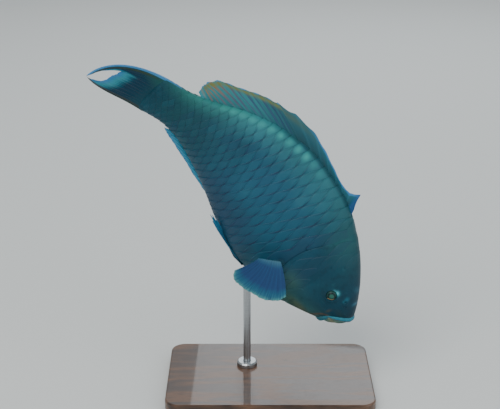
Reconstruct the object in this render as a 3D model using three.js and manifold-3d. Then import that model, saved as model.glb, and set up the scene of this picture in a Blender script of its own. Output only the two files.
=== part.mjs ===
// A life-size parrotfish swimming head down, with its tail swung to its right, on a plain display stand.
// Millimetres, +Z up. The origin is the middle of the underside of the stand's base.
//
// The fish is shaped straight first, in its own frame: x runs from the snout to the tail, y to its right side
// and z to its back. Every piece is then bent by one and the same curve of the spine, and the whole fish is
// turned and lifted onto its rod.

import * as THREE from 'three';
import { mergeVertices } from 'three/addons/utils/BufferGeometryUtils.js';
import Module from 'manifold-3d';

const wasm = await Module();
wasm.setup();

// Driving dimensions of the fish, in millimetres and degrees
const STANDARD_LENGTH = 330;        // snout to the root of the tail fin
const GAP = 0.3;                    // kept between pieces that touch
const TAIL_SWING = 44.6;            // how far the spine has turned sideways at the root of the tail fin
const TAIL_DROP = 14.0;             // how far it has turned downwards there
const SWING_STARTS = 0.22;          // station along the standard length where the sideways bend begins
const DROP_STARTS = 0.31;
const FURTHEST_STATION = 1.35;      // the spine curve goes on through the tail fin
const BANK = 68.4;                  // turns that set the pose, about the long axis first
const SWAY = -8.6;
const HEAD_DOWN = 119.9;
const LEAN_BACK = 70;

// Driving dimensions of the stand
const BASE_LENGTH = 220;
const BASE_DEPTH = 140;
const BASE_THICKNESS = 12;
const BASE_CORNER = 14;
const BASE_EDGE = 1.5;
const ROD_RADIUS = 4;
const COLLAR_RADIUS = 11;
const COLLAR_HEIGHT = 5;
const COLLAR_EDGE = 1.5;
const SNOUT_HEIGHT = 76;            // from the underside of the base to the tip of the snout
const SNOUT_ASIDE = 76;             // from the middle of the base to the tip of the snout
const SNOUT_FORWARD = 8;
const ROD_STATION = 0.30;           // where along the belly the rod comes in
const ROD_OVERRUN = 30;             // length inside the belly before the rod is cut to it

// Grid density
const RING_POINTS = 36;
const BODY_STATIONS = 40;
const INNER_STATIONS = 12;
const SNOUT_CROWDING = 1.25;        // above 1 sets the stations closer at the snout
const ROD_SIDES = 24;

// Body outline as fractions of the standard length: station, back, belly, half width
const BODY_OUTLINE = [
  [-0.004, 0.037, -0.027, 0.008],
  [0.005, 0.048, 0.003, 0.023],
  [0.023, 0.066, 0.032, 0.037],
  [0.051, 0.0896, 0.0565, 0.050],
  [0.100, 0.1240, 0.0960, 0.063],
  [0.180, 0.1666, 0.1500, 0.078],
  [0.280, 0.2016, 0.1825, 0.087],
  [0.380, 0.2177, 0.2015, 0.089],
  [0.500, 0.2134, 0.1850, 0.083],
  [0.620, 0.1833, 0.1505, 0.069],
  [0.740, 0.1327, 0.1125, 0.051],
  [0.840, 0.0835, 0.0810, 0.035],
  [0.920, 0.0640, 0.0690, 0.023],
  [1.000, 0.0650, 0.0685, 0.010],
  [1.012, 0.0590, 0.0560, 0.004],
];
const SNOUT_RISE = 0.032;           // the snout's tip lies this far above the spine line
const SNOUT_RISE_ENDS = 0.15;
const SECTION_FULLNESS = 0.95;      // 1 is an ellipse, less is fuller flanks

// Small helpers

const radians = THREE.MathUtils.degToRad;
const lerp = THREE.MathUtils.lerp;
const clamp = THREE.MathUtils.clamp;
const smooth = (t) => THREE.MathUtils.smoothstep(t, 0, 1);
const sl = (fraction) => fraction * STANDARD_LENGTH;
const at = (x, y, z) => new THREE.Vector3(x, y, z);

// Smooth curve through rising stations that never overshoots them (monotone cubic)
function monotoneCurve(xs, ys) {
  const n = xs.length;
  const step = xs.slice(1).map((x, i) => x - xs[i]);
  const slope = step.map((h, i) => (ys[i + 1] - ys[i]) / h);
  const tangent = xs.map((_, i) => {
    if (i === 0) return slope[0];
    if (i === n - 1) return slope[n - 2];
    if (slope[i - 1] * slope[i] <= 0) return 0;
    const before = 2 * step[i] + step[i - 1];
    const after = step[i] + 2 * step[i - 1];
    return (before + after) / (before / slope[i - 1] + after / slope[i]);
  });
  return (x) => {
    let i = 0;
    while (i < n - 2 && x > xs[i + 1]) i += 1;
    const h = step[i];
    const t = clamp((x - xs[i]) / h, 0, 1);
    const t2 = t * t;
    const t3 = t2 * t;
    return (2 * t3 - 3 * t2 + 1) * ys[i] + (t3 - 2 * t2 + t) * h * tangent[i]
      + (3 * t2 - 2 * t3) * ys[i + 1] + (t3 - t2) * h * tangent[i + 1];
  };
}

// Body shape

const outlineStations = BODY_OUTLINE.map((row) => row[0]);
const backOf = monotoneCurve(outlineStations, BODY_OUTLINE.map((row) => row[1]));
const bellyOf = monotoneCurve(outlineStations, BODY_OUTLINE.map((row) => row[2]));
const halfWidthOf = monotoneCurve(outlineStations, BODY_OUTLINE.map((row) => row[3]));
const SNOUT = outlineStations[0];
const BODY_END = outlineStations.at(-1);
const axisOf = (station) => SNOUT_RISE * (1 - smooth((station - SNOUT) / SNOUT_RISE_ENDS));

// Point of the skin at a station and an angle round the section: 0 on the right side, 90 degrees on the back
function skinPoint(station, angle) {
  const across = Math.cos(angle);
  const up = Math.sin(angle);
  const axis = axisOf(station);
  const height = up > 0 ? backOf(station) - axis : bellyOf(station) + axis;
  const width = halfWidthOf(station) * Math.sign(across) * Math.abs(across) ** SECTION_FULLNESS;
  return at(sl(station), sl(width), sl(axis + height * up));
}

function skinNormal(station, angle) {
  const d = 0.003;
  const before = clamp(station - d, SNOUT, BODY_END);
  const after = clamp(station + d, SNOUT, BODY_END);
  const along = skinPoint(after, angle).sub(skinPoint(before, angle));
  const around = skinPoint(station, angle + d).sub(skinPoint(station, angle - d));
  return around.cross(along).normalize();
}

// How far a point is inside the skin: below 1 inside, 1 on it
function insideMeasure(point) {
  const station = point.x / STANDARD_LENGTH;
  if (station < SNOUT || station > BODY_END) return Infinity;
  const axis = axisOf(station);
  const rise = point.z / STANDARD_LENGTH - axis;
  const height = rise > 0 ? backOf(station) - axis : bellyOf(station) + axis;
  const across = Math.abs(point.y) / sl(halfWidthOf(station));
  return across ** (2 / SECTION_FULLNESS) + (rise / height) ** 2;
}

// First point of the skin met from an inner point in a given direction
function skinFrom(inner, direction) {
  let near = 0;
  let far = sl(0.5);
  for (let i = 0; i < 40; i += 1) {
    const middle = (near + far) / 2;
    if (insideMeasure(inner.clone().addScaledVector(direction, middle)) < 1) near = middle;
    else far = middle;
  }
  return inner.clone().addScaledVector(direction, near);
}

// Skin point of a side at a station and height
function flankPoint(station, height, side) {
  return skinFrom(at(sl(station), 0, sl(height)), at(0, side, 0));
}

function flankNormal(station, height, side) {
  const d = 0.004;
  const along = flankPoint(station + d, height, side).sub(flankPoint(station - d, height, side));
  const upward = flankPoint(station, height + d, side).sub(flankPoint(station, height - d, side));
  return upward.cross(along).normalize().multiplyScalar(side);
}

// Spine curve: sideways and downward turning grow with the station, and the pieces are carried along it

const SPINE_STEPS = 540;
const spine = (() => {
  const first = -0.03;
  const samples = [];
  const position = at(0, 0, 0);
  for (let i = 0; i <= SPINE_STEPS; i += 1) {
    const station = lerp(first, FURTHEST_STATION, i / SPINE_STEPS);
    const swing = radians(TAIL_SWING) * Math.max(0, (station - SWING_STARTS) / (1 - SWING_STARTS)) ** 1.6;
    const drop = radians(TAIL_DROP) * smooth((station - DROP_STARTS) / (1 - DROP_STARTS));
    const turn = new THREE.Matrix4().makeRotationY(drop).multiply(new THREE.Matrix4().makeRotationZ(swing));
    const [along, across, up] = [at(0, 0, 0), at(0, 0, 0), at(0, 0, 0)];
    turn.extractBasis(along, across, up);
    if (i > 0) {
      const stride = sl((FURTHEST_STATION - first) / SPINE_STEPS);
      position.addScaledVector(samples[i - 1].along.clone().add(along), stride / 2);
    }
    samples.push({ station, position: position.clone(), along, across, up });
  }
  const step = (FURTHEST_STATION - first) / SPINE_STEPS;
  const blend = (key, station) => {
    const k = clamp((station - first) / step, 0, SPINE_STEPS - 1e-6);
    const i = Math.floor(k);
    return samples[i][key].clone().lerp(samples[i + 1][key], k - i);
  };
  const origin = blend('position', 0);
  return { blend, origin };
})();

function bent(point) {
  const station = point.x / STANDARD_LENGTH;
  return spine.blend('position', station).sub(spine.origin)
    .addScaledVector(spine.blend('across', station), point.y)
    .addScaledVector(spine.blend('up', station), point.z);
}

function bendGeometry(geometry) {
  const position = geometry.attributes.position;
  const point = at(0, 0, 0);
  for (let i = 0; i < position.count; i += 1) {
    point.fromBufferAttribute(position, i);
    position.setXYZ(i, ...bent(point).toArray());
  }
  geometry.deleteAttribute('normal');
  return geometry;
}

// Solids: closed meshes in, joined or cut, closed meshes out

function bare(geometry) {
  const copy = geometry.clone();
  copy.deleteAttribute('normal');
  copy.deleteAttribute('uv');
  return mergeVertices(copy, 1e-5);
}

function solid(geometry) {
  const merged = bare(geometry);
  return new wasm.Manifold(new wasm.Mesh({
    numProp: 3,
    vertProperties: new Float32Array(merged.attributes.position.array),
    triVerts: new Uint32Array(merged.index.array),
  }));
}

function largest(shape) {
  const pieces = shape.decompose();
  return pieces.reduce((best, piece) => (piece.volume() > best.volume() ? piece : best));
}

function geometryOf(shape) {
  const mesh = largest(shape).getMesh();
  const geometry = new THREE.BufferGeometry();
  geometry.setAttribute('position', new THREE.BufferAttribute(new Float32Array(mesh.vertProperties), 3));
  geometry.setIndex(new THREE.BufferAttribute(new Uint32Array(mesh.triVerts), 1));
  return geometry;
}

// Closed tube through rings of points, each end closed by a fan round its middle
function tubeGeometry(rings) {
  const around = rings[0].length;
  const points = rings.flat();
  const middleOf = (ring) => ring.reduce((sum, p) => sum.add(p), at(0, 0, 0)).divideScalar(ring.length);
  const firstMiddle = points.length;
  points.push(middleOf(rings[0]), middleOf(rings.at(-1)));
  const faces = [];
  for (let i = 0; i < rings.length - 1; i += 1) {
    for (let j = 0; j < around; j += 1) {
      const a = i * around + j;
      const b = i * around + ((j + 1) % around);
      faces.push(a, b, a + around, b, b + around, a + around);
    }
  }
  const last = (rings.length - 1) * around;
  for (let j = 0; j < around; j += 1) {
    const k = (j + 1) % around;
    faces.push(firstMiddle, k, j);
    faces.push(firstMiddle + 1, last + j, last + k);
  }
  return meshGeometry(points, faces);
}

function meshGeometry(points, faces) {
  const geometry = new THREE.BufferGeometry();
  const numbers = new Float32Array(points.flatMap((p) => p.toArray()));
  geometry.setAttribute('position', new THREE.BufferAttribute(numbers, 3));
  geometry.setIndex(faces);
  return geometry;
}

// Body form with its skin moved out by a distance (in, where it is negative), between two stations
function bodyForm(outset = 0, from = SNOUT, to = BODY_END, stations = BODY_STATIONS) {
  const rings = [];
  for (let i = 0; i <= stations; i += 1) {
    const even = i / stations;
    const crowded = from === SNOUT ? even ** SNOUT_CROWDING : even;
    const station = lerp(from, to, crowded);
    const ring = [];
    for (let j = 0; j < RING_POINTS; j += 1) {
      const angle = (2 * Math.PI * j) / RING_POINTS;
      const point = skinPoint(station, angle);
      if (outset !== 0) point.addScaledVector(skinNormal(station, angle), outset);
      ring.push(point);
    }
    rings.push(ring);
  }
  return tubeGeometry(rings);
}

// Slab with an outline in the side view, from one y to another
function sideSlab(outline, yFrom, yTo) {
  const shape = new THREE.Shape(outline.map(([x, z]) => new THREE.Vector2(x, z)));
  const geometry = new THREE.ExtrudeGeometry(shape, { depth: yTo - yFrom, bevelEnabled: false });
  geometry.rotateX(Math.PI / 2);
  geometry.translate(0, yTo, 0);
  return solid(geometry);
}

function smoothOutline(points, divisions) {
  const curve = new THREE.SplineCurve(points.map(([x, z]) => new THREE.Vector2(sl(x), sl(z))));
  return curve.getPoints(divisions).map((p) => [p.x, p.y]);
}

// Closed outline moved outwards by a distance
function grownOutline(outline, distance) {
  const area = outline.reduce((sum, [x, z], i) => {
    const [nx, nz] = outline[(i + 1) % outline.length];
    return sum + x * nz - nx * z;
  }, 0);
  const turn = Math.sign(area);
  return outline.map(([x, z], i) => {
    const [px, pz] = outline[(i + outline.length - 1) % outline.length];
    const [nx, nz] = outline[(i + 1) % outline.length];
    const tangent = new THREE.Vector2(nx - px, nz - pz).normalize();
    return [x + turn * tangent.y * distance, z - turn * tangent.x * distance];
  });
}

const WIDE = sl(0.3);
const body = solid(bodyForm());
const bodyClear = solid(bodyForm(GAP));

// Slice of a solid between two stations
function slice(shape, from, to) {
  const box = sideSlab([[from, -WIDE], [to, -WIDE], [to, WIDE], [from, WIDE]], -WIDE, WIDE);
  return shape.intersect(box);
}

// Head, parted from the trunk along the edge of the gill openings

const HEAD_EDGE = [
  [0.215, 0.30], [0.240, 0.20], [0.266, 0.125], [0.283, 0.060], [0.284, 0.010],
  [0.271, -0.045], [0.248, -0.095], [0.215, -0.145], [0.175, -0.195], [0.150, -0.30],
];
const headEdge = smoothOutline(HEAD_EDGE, 28);
const headRegion = (clearance) => {
  const edge = headEdge.map(([x, z]) => [x + clearance, z]);
  return sideSlab([[-40, edge[0][1]], [-40, edge.at(-1)[1]], ...edge.toReversed()], -WIDE, WIDE);
};

// Gill covers: plates set into the head, their rear edges standing a little proud
const GILL_FRONT = [
  [0.236, 0.118], [0.206, 0.080], [0.194, 0.025], [0.186, -0.035], [0.172, -0.090], [0.160, -0.128],
];
const GILL_THICKNESS = 2.6;
const GILL_PROUD = 0.7;
const GILL_TOP = 0.108;
const GILL_BOTTOM = -0.150;
const GILL_OVERRUN = 6;             // past the head's rear edge, where the plate is then cut
const GILL_SLAB_STARTS = 4;         // from the middle plane, so that the two sides stay apart
const gillOutline = [
  ...smoothOutline(GILL_FRONT, 12),
  ...headEdge.filter(([, z]) => z > sl(GILL_BOTTOM) && z < sl(GILL_TOP))
    .reverse().map(([x, z]) => [x + GILL_OVERRUN, z]),
];
const GILL_FROM = 0.12;
const GILL_TO = 0.34;

function gillSlab(outline, side) {
  return side > 0 ? sideSlab(outline, GILL_SLAB_STARTS, WIDE) : sideSlab(outline, -WIDE, -GILL_SLAB_STARTS);
}

function gillPocket(side) {
  const inner = solid(bodyForm(-GILL_THICKNESS - GAP, GILL_FROM, GILL_TO, INNER_STATIONS));
  return gillSlab(grownOutline(gillOutline, GAP), side).subtract(inner);
}

function gillCover(side) {
  const inner = solid(bodyForm(-GILL_THICKNESS, GILL_FROM, GILL_TO, INNER_STATIONS));
  const outer = solid(bodyForm(GILL_PROUD, GILL_FROM, GILL_TO, INNER_STATIONS));
  return outer.intersect(gillSlab(gillOutline, side)).subtract(inner).intersect(headRegion(-GAP / 2));
}

// Eyes: flattened balls in sockets with a low raised rim
const EYE_STATION = 0.111;
const EYE_HEIGHT = 0.042;
const EYE_RADIUS = 5.8;
const EYE_HALF_DEPTH = 4.6;
const EYE_SUNK = 2.5;
const RIM_RADIUS = 8.4;
const RIM_HALF_DEPTH = 3.0;
const RIM_SUNK = 1.3;

function ballOnFlank(station, height, side, radius, halfDepth, sunk, detail) {
  const ball = new THREE.SphereGeometry(radius, detail, Math.round(detail / 2));
  ball.scale(1, halfDepth / radius, 1);
  const normal = flankNormal(station, height, side);
  ball.applyQuaternion(new THREE.Quaternion().setFromUnitVectors(at(0, 1, 0), normal));
  const centre = flankPoint(station, height, side).addScaledVector(normal, -sunk);
  return solid(ball.translate(...centre.toArray()));
}

const eyeBall = (side, clearance) => ballOnFlank(
  EYE_STATION, EYE_HEIGHT, side, EYE_RADIUS + clearance, EYE_HALF_DEPTH + clearance, EYE_SUNK, 16,
);

// Nostrils: two small pits in front of each eye
const NOSTRILS = [[0.070, 0.062, 1.3], [0.055, 0.054, 0.9]];

// Mouth: two beak plates in a fan that opens from the corners of the mouth, between two lips. The lips and the
// line between the plates lie in planes through the corner, each tilted so many degrees above straight ahead
const MOUTH_CORNER = [17.5, -3.6];
const UPPER_LIP_TILT = 47;
const LOWER_LIP_TILT = -94;
const BEAK_LINE_TILT = -6;
const BEAK_SLIT = 2.0;              // half the opening between the plates, in degrees
const BEAK_SUNK = 0.6;
const UPPER_LIP_HALF_HEIGHT = 3.8;
const LOWER_LIP_HALF_HEIGHT = 4.4;
const LIP_HALF_DEPTH = 2.2;
const LIP_SUNK = 1.1;
const LIP_CORNER_SHARE = 0.4;       // thickness at the corner, and again at the very end
const LIP_WRAP = 96;                // degrees from the front to each corner of the mouth
const LIP_STEPS = 16;
const LIP_SIDES = 8;
const FAN_REACH = 60;               // past the snout from anywhere in the mouth
const FAN_STEPS = 6;

const tiltRay = (tilt) => at(-Math.cos(radians(tilt)), 0, Math.sin(radians(tilt)));

// Lip: a tube laid on the skin from one corner of the mouth round the front to the other
function lip(tilt, halfHeight, growth) {
  const steps = LIP_STEPS;
  const rings = [];
  const corner = at(MOUTH_CORNER[0], 0, MOUTH_CORNER[1]);
  const forward = tiltRay(tilt);
  const path = [];
  for (let i = 0; i <= steps; i += 1) {
    const angle = radians(lerp(-LIP_WRAP, LIP_WRAP, i / steps));
    const direction = forward.clone().multiplyScalar(Math.cos(angle))
      .addScaledVector(at(0, 1, 0), Math.sin(angle));
    path.push(skinFrom(corner, direction));
  }
  for (let i = 0; i <= steps; i += 1) {
    const along = path[Math.min(i + 1, steps)].clone().sub(path[Math.max(i - 1, 0)]).normalize();
    const u = Math.abs(2 * i / steps - 1);
    const share = lerp(1, LIP_CORNER_SHARE, u ** 3);
    const planeNormal = at(-forward.z, 0, forward.x);
    const outward = along.clone().cross(planeNormal).normalize();
    const endShare = i === 0 || i === steps ? LIP_CORNER_SHARE : 1;
    const ring = [];
    for (let j = 0; j < LIP_SIDES; j += 1) {
      const a = (2 * Math.PI * j) / LIP_SIDES;
      const depth = (LIP_HALF_DEPTH * share * endShare + growth) * Math.cos(a);
      const height = (halfHeight * share * endShare + growth) * Math.sin(a);
      const point = path[i].clone().addScaledVector(outward, depth - LIP_SUNK);
      ring.push(point.addScaledVector(planeNormal, height));
    }
    rings.push(ring);
  }
  const shape = solid(tubeGeometry(rings));
  return shape.volume() > 0 ? shape : solid(tubeGeometry(rings.toReversed()));
}

// Part of the mouth between two planes through its corner
function fan(fromTilt, toTilt, growth) {
  const outline = [MOUTH_CORNER];
  for (let i = 0; i <= FAN_STEPS; i += 1) {
    const ray = tiltRay(lerp(fromTilt, toTilt, i / FAN_STEPS)).multiplyScalar(FAN_REACH);
    outline.push([MOUTH_CORNER[0] + ray.x, MOUTH_CORNER[1] + ray.z]);
  }
  return sideSlab(growth === 0 ? outline : grownOutline(outline, growth), -sl(0.1), sl(0.1));
}

const upperLipGrown = (growth) => lip(UPPER_LIP_TILT, UPPER_LIP_HALF_HEIGHT, growth);
const lowerLipGrown = (growth) => lip(LOWER_LIP_TILT, LOWER_LIP_HALF_HEIGHT, growth);
const upperLip = upperLipGrown(0);
const lowerLip = lowerLipGrown(0).subtract(upperLipGrown(GAP));
const lipsClear = upperLipGrown(GAP).add(lowerLipGrown(GAP));
const beakForm = solid(bodyForm(-BEAK_SUNK, SNOUT + 0.002, 0.12, INNER_STATIONS));
const upperBeak = beakForm.intersect(fan(UPPER_LIP_TILT, BEAK_LINE_TILT + BEAK_SLIT, 0)).subtract(lipsClear);
const lowerBeak = beakForm.intersect(fan(BEAK_LINE_TILT - BEAK_SLIT, LOWER_LIP_TILT, 0)).subtract(lipsClear);
const mouthOpening = fan(UPPER_LIP_TILT, LOWER_LIP_TILT, GAP);

function headSolid() {
  let head = body.intersect(headRegion(-GAP / 2));
  for (const side of [1, -1]) {
    head = head.add(ballOnFlank(EYE_STATION, EYE_HEIGHT, side, RIM_RADIUS, RIM_HALF_DEPTH, RIM_SUNK, 18));
    head = head.subtract(eyeBall(side, GAP));
    head = head.subtract(gillPocket(side));
    for (const [station, height, radius] of NOSTRILS) {
      head = head.subtract(ballOnFlank(station, height, side, radius, radius, 0.1, 6));
    }
  }
  return head.subtract(lipsClear).subtract(mouthOpening);
}

// Trunk, in two lengths, and tail stalk
const TRUNK_SPLIT = 0.56;
const STALK_STARTS = 0.80;

const behindHead = body.subtract(headRegion(GAP / 2));
const trunkFront = slice(behindHead, -40, sl(TRUNK_SPLIT) - GAP / 2);
const trunkRear = slice(behindHead, sl(TRUNK_SPLIT) + GAP / 2, sl(STALK_STARTS) - GAP / 2);
const tailStalk = slice(behindHead, sl(STALK_STARTS) + GAP / 2, sl(BODY_END) + 10);

// Fins: a membrane with its rays raised in its own surface. Each ray is a curve from its root to its tip

const MEMBRANE_HALF = 0.32;         // half the thickness at the root
const MEMBRANE_TAPER = 0.25;        // share of it lost at the margin
const RAY_RISE = 0.38;
const RAY_TAPER = 0.6;
const MARGIN_NOTCH = 0.025;         // share of a ray that the margin draws in between two rays
const ROOT_SWELL = 0.5;
const ROOT_SWELL_ENDS = 0.35;

// curve(t, v) gives the middle surface: t runs from the first ray to the last, v from the root to the margin
function rayFin({ rays, rows, curve, swell = ROOT_SWELL, notch = MARGIN_NOTCH }) {
  const columns = 2 * (rays - 1);
  const reach = (i) => (i % 2 === 0 ? 1 : 1 - notch);
  const middle = (i, j) => curve(i / columns, (j / rows) * reach(i));
  const front = [];
  const back = [];
  for (let i = 0; i <= columns; i += 1) {
    for (let j = 0; j <= rows; j += 1) {
      const point = middle(i, j);
      const v = j / rows;
      const t = i / columns;
      const d = 0.02;
      const acrossRays = curve(Math.min(t + d, 1), v).sub(curve(Math.max(t - d, 0), v));
      const alongRays = curve(t, Math.min(v + d, 1)).sub(curve(t, Math.max(v - d, 0)));
      const normal = acrossRays.cross(alongRays).normalize();
      const ridge = i % 2 === 0 ? RAY_RISE * (1 - RAY_TAPER * v) : 0;
      const root = swell * (1 - smooth(v / ROOT_SWELL_ENDS));
      const half = MEMBRANE_HALF * (1 - MEMBRANE_TAPER * v) + ridge + root;
      front.push(point.clone().addScaledVector(normal, half));
      back.push(point.clone().addScaledVector(normal, -half));
    }
  }
  const count = front.length;
  const faces = [];
  const id = (i, j) => i * (rows + 1) + j;
  for (let i = 0; i < columns; i += 1) {
    for (let j = 0; j < rows; j += 1) {
      const [a, b, c, d] = [id(i, j), id(i + 1, j), id(i + 1, j + 1), id(i, j + 1)];
      faces.push(a, b, c, a, c, d);
      faces.push(count + a, count + c, count + b, count + a, count + d, count + c);
    }
  }
  const rim = [];
  for (let i = 0; i < columns; i += 1) rim.push([id(i + 1, 0), id(i, 0)], [id(i, rows), id(i + 1, rows)]);
  for (let j = 0; j < rows; j += 1) rim.push([id(0, j), id(0, j + 1)], [id(columns, j + 1), id(columns, j)]);
  for (const [a, b] of rim) faces.push(a, b, count + b, a, count + b, count + a);
  const points = [...front, ...back];
  const shape = solid(meshGeometry(points, faces));
  if (shape.volume() > 0) return shape;
  const turned = [];
  for (let k = 0; k < faces.length; k += 3) turned.push(faces[k], faces[k + 2], faces[k + 1]);
  return solid(meshGeometry(points, turned));
}

const offBody = (shape) => shape.subtract(bodyClear);

// Value along a list spread evenly from 0 to 1
function along(list, t) {
  const k = clamp(t, 0, 1) * (list.length - 1);
  const i = Math.min(Math.floor(k), list.length - 2);
  return lerp(list[i], list[i + 1], k - i);
}

// Median fin whose rays rise from the body's edge line and lean towards the tail
const ROOT_DEPTH = 5;

function medianCurve({ from, to, lengths, leans, edgeOf, direction }) {
  return (t, v) => {
    const station = Array.isArray(from) ? along(from, t) : lerp(from, to, t);
    const lean = radians(along(leans, t));
    const slope = direction * (edgeOf(station + 0.01) - edgeOf(station - 0.01)) / 0.02;
    const edgeTurn = Math.atan(slope);
    const root = at(sl(station), 0, direction * sl(edgeOf(station)));
    const ray = at(Math.cos(direction * lean + edgeTurn), 0, Math.sin(direction * lean + edgeTurn));
    const length = along(lengths, t);
    return root.addScaledVector(ray, lerp(-ROOT_DEPTH / Math.sin(lean), length, v));
  };
}

const SPINE_ROOTS = [0.308, 0.330, 0.352, 0.385, 0.420, 0.458, 0.498, 0.540, 0.580];
const SPINE_LENGTHS = [6, 20, 9, 8, 12.5, 19.5, 27, 37, 40.5];
const SPINE_LEANS = [42, 58, 42, 30, 30, 30, 30, 30, 30];
const dorsalSpiny = rayFin({
  rays: 9,
  rows: 4,
  notch: 0.06,
  curve: medianCurve({
    from: SPINE_ROOTS, lengths: SPINE_LENGTHS, leans: SPINE_LEANS, edgeOf: backOf, direction: 1,
  }),
});
const SOFT_LENGTHS = [40.5, 39.5, 40, 41.5, 44, 44, 39.5, 29.5, 19, 6];
const SOFT_LEANS = [30, 30, 30.5, 31, 31.5, 32, 33, 35, 38, 42];
const dorsalSoft = rayFin({
  rays: 10,
  rows: 5,
  curve: medianCurve({
    from: 0.582, to: 0.872, lengths: SOFT_LENGTHS, leans: SOFT_LEANS, edgeOf: backOf, direction: 1,
  }),
});
const ANAL_LENGTHS = [7.5, 10.5, 13, 14.5, 15.5, 16, 17, 18.5, 18.5, 15.5, 11, 6.5];
const ANAL_LEANS = [16, 18, 20, 20, 20, 20, 20, 20, 20, 20, 21, 22];
const analFin = rayFin({
  rays: 12,
  rows: 4,
  curve: medianCurve({
    from: 0.60, to: 0.862, lengths: ANAL_LENGTHS, leans: ANAL_LEANS, edgeOf: bellyOf, direction: -1,
  }),
});

// Tail fin: its lobes are closed, so that their tips nearly meet, round a crescent margin
const TAIL_TIPS = new THREE.SplineCurve([
  [1.272, -0.013], [1.245, 0.000], [1.212, 0.017], [1.156, 0.031], [1.163, 0.017], [1.170, 0.004],
  [1.180, -0.012], [1.200, -0.027], [1.238, -0.0235], [1.264, -0.0185],
].map(([x, z]) => new THREE.Vector2(sl(x), sl(z))));
const TAIL_ROOT_TOP = 0.0630;
const TAIL_ROOT_BOTTOM = -0.0680;
const TAIL_ROOT_STATION = 0.985;
const TAIL_SPLIT = 0.5;
const LOWER_LOBE_BULGE = 0.030;

function tailCurve(u, v) {
  const root = at(sl(TAIL_ROOT_STATION), 0, sl(lerp(TAIL_ROOT_TOP, TAIL_ROOT_BOTTOM, u)));
  const end = TAIL_TIPS.getPoint(u);
  const tip = at(end.x, 0, end.y);
  const upper = Math.max(0, 1 - u / 0.3);
  const lower = Math.max(0, (u - 0.7) / 0.3);
  const reach = tip.x - root.x;
  const first = root.clone().add(at(reach / 3, 0, lerp((tip.z - root.z) / 6, sl(0.004), upper)));
  const straight = root.clone().lerp(tip, 2 / 3);
  const second = straight.lerp(tip.clone().add(at(sl(-0.006), 0, sl(0.064))), upper);
  second.z -= sl(LOWER_LOBE_BULGE) * lower;
  return new THREE.CubicBezierCurve3(root, first, second, tip).getPoint(v);
}

const tailUpper = rayFin({
  rays: 8,
  rows: 8,
  notch: 0.01,
  swell: 1.0,
  curve: (t, v) => tailCurve(lerp(0, TAIL_SPLIT, t), v).add(at(0, 0, GAP / 2)),
});
const tailLower = rayFin({
  rays: 7,
  rows: 8,
  notch: 0.01,
  swell: 1.0,
  curve: (t, v) => tailCurve(lerp(TAIL_SPLIT, 1, t), v).sub(at(0, 0, GAP / 2)),
});

// Paired fins: a fan of rays from a slanting root on the flank
function fanCurve({ rootFrom, rootTo, side, firstRay, lastRay, lengths, bow }) {
  const fan = firstRay.angleTo(lastRay);
  return (t, v) => {
    const station = lerp(rootFrom[0], rootTo[0], t);
    const height = lerp(rootFrom[1], rootTo[1], t);
    const root = flankPoint(station, height, side);
    const ray = firstRay.clone().multiplyScalar(Math.sin((1 - t) * fan))
      .addScaledVector(lastRay, Math.sin(t * fan)).divideScalar(Math.sin(fan));
    ray.y *= side;
    const length = along(lengths, t);
    const bend = at(bow[0], bow[1] * side, bow[2]).multiplyScalar(4 * v * (1 - v));
    return root.addScaledVector(ray, lerp(-ROOT_DEPTH, length, v)).add(bend);
  };
}

const PECTORAL = {
  rootFrom: [0.285, -0.046], rootTo: [0.315, -0.112],
  firstRay: at(-0.309, 0.943, 0.124), lastRay: at(0.215, 0.769, -0.602),
  lengths: [62, 66, 64, 60, 56, 51, 46, 41, 36, 31], bow: [-1.5, 0, 1.0],
};
const PELVIC = {
  rootFrom: [0.335, -0.183], rootTo: [0.368, -0.191],
  firstRay: at(0.98, 0.15, -0.045).normalize(), lastRay: at(0.985, 0.05, 0.14).normalize(),
  lengths: [40, 57, 64, 59, 49, 36], bow: [0, 0.6, -1.6],
};
const pectoral = (side) => rayFin({ rays: 13, rows: 5, curve: fanCurve({ ...PECTORAL, side }) });
const pelvic = (side) => rayFin({ rays: 6, rows: 5, notch: 0.08, curve: fanCurve({ ...PELVIC, side }) });

// Finishes

function finish(color, roughness = 0.45, metalness = 0) {
  return new THREE.MeshStandardMaterial({ color, roughness, metalness });
}

const SKIN = finish(0x23606e);
const HEAD_SKIN = finish(0x245463);
const FIN_SKIN = finish(0x2a6a96);
const LIP_SKIN = finish(0x2f8fa6);
const BEAK_ENAMEL = finish(0xcfc8a8, 0.3);
const EYE_SURFACE = finish(0x2e5a48, 0.1);
const BASE_WOOD = finish(0x3a2c22, 0.5);
const ROD_METAL = finish(0xb8b8b8, 0.3, 1);

function piece(name, shape, material) {
  const mesh = new THREE.Mesh(bendGeometry(geometryOf(shape)), material);
  mesh.name = name;
  return mesh;
}

function group(...children) {
  const holder = new THREE.Group();
  holder.add(...children);
  return holder;
}

// Fish, in its own bent frame with the origin at the snout

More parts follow.
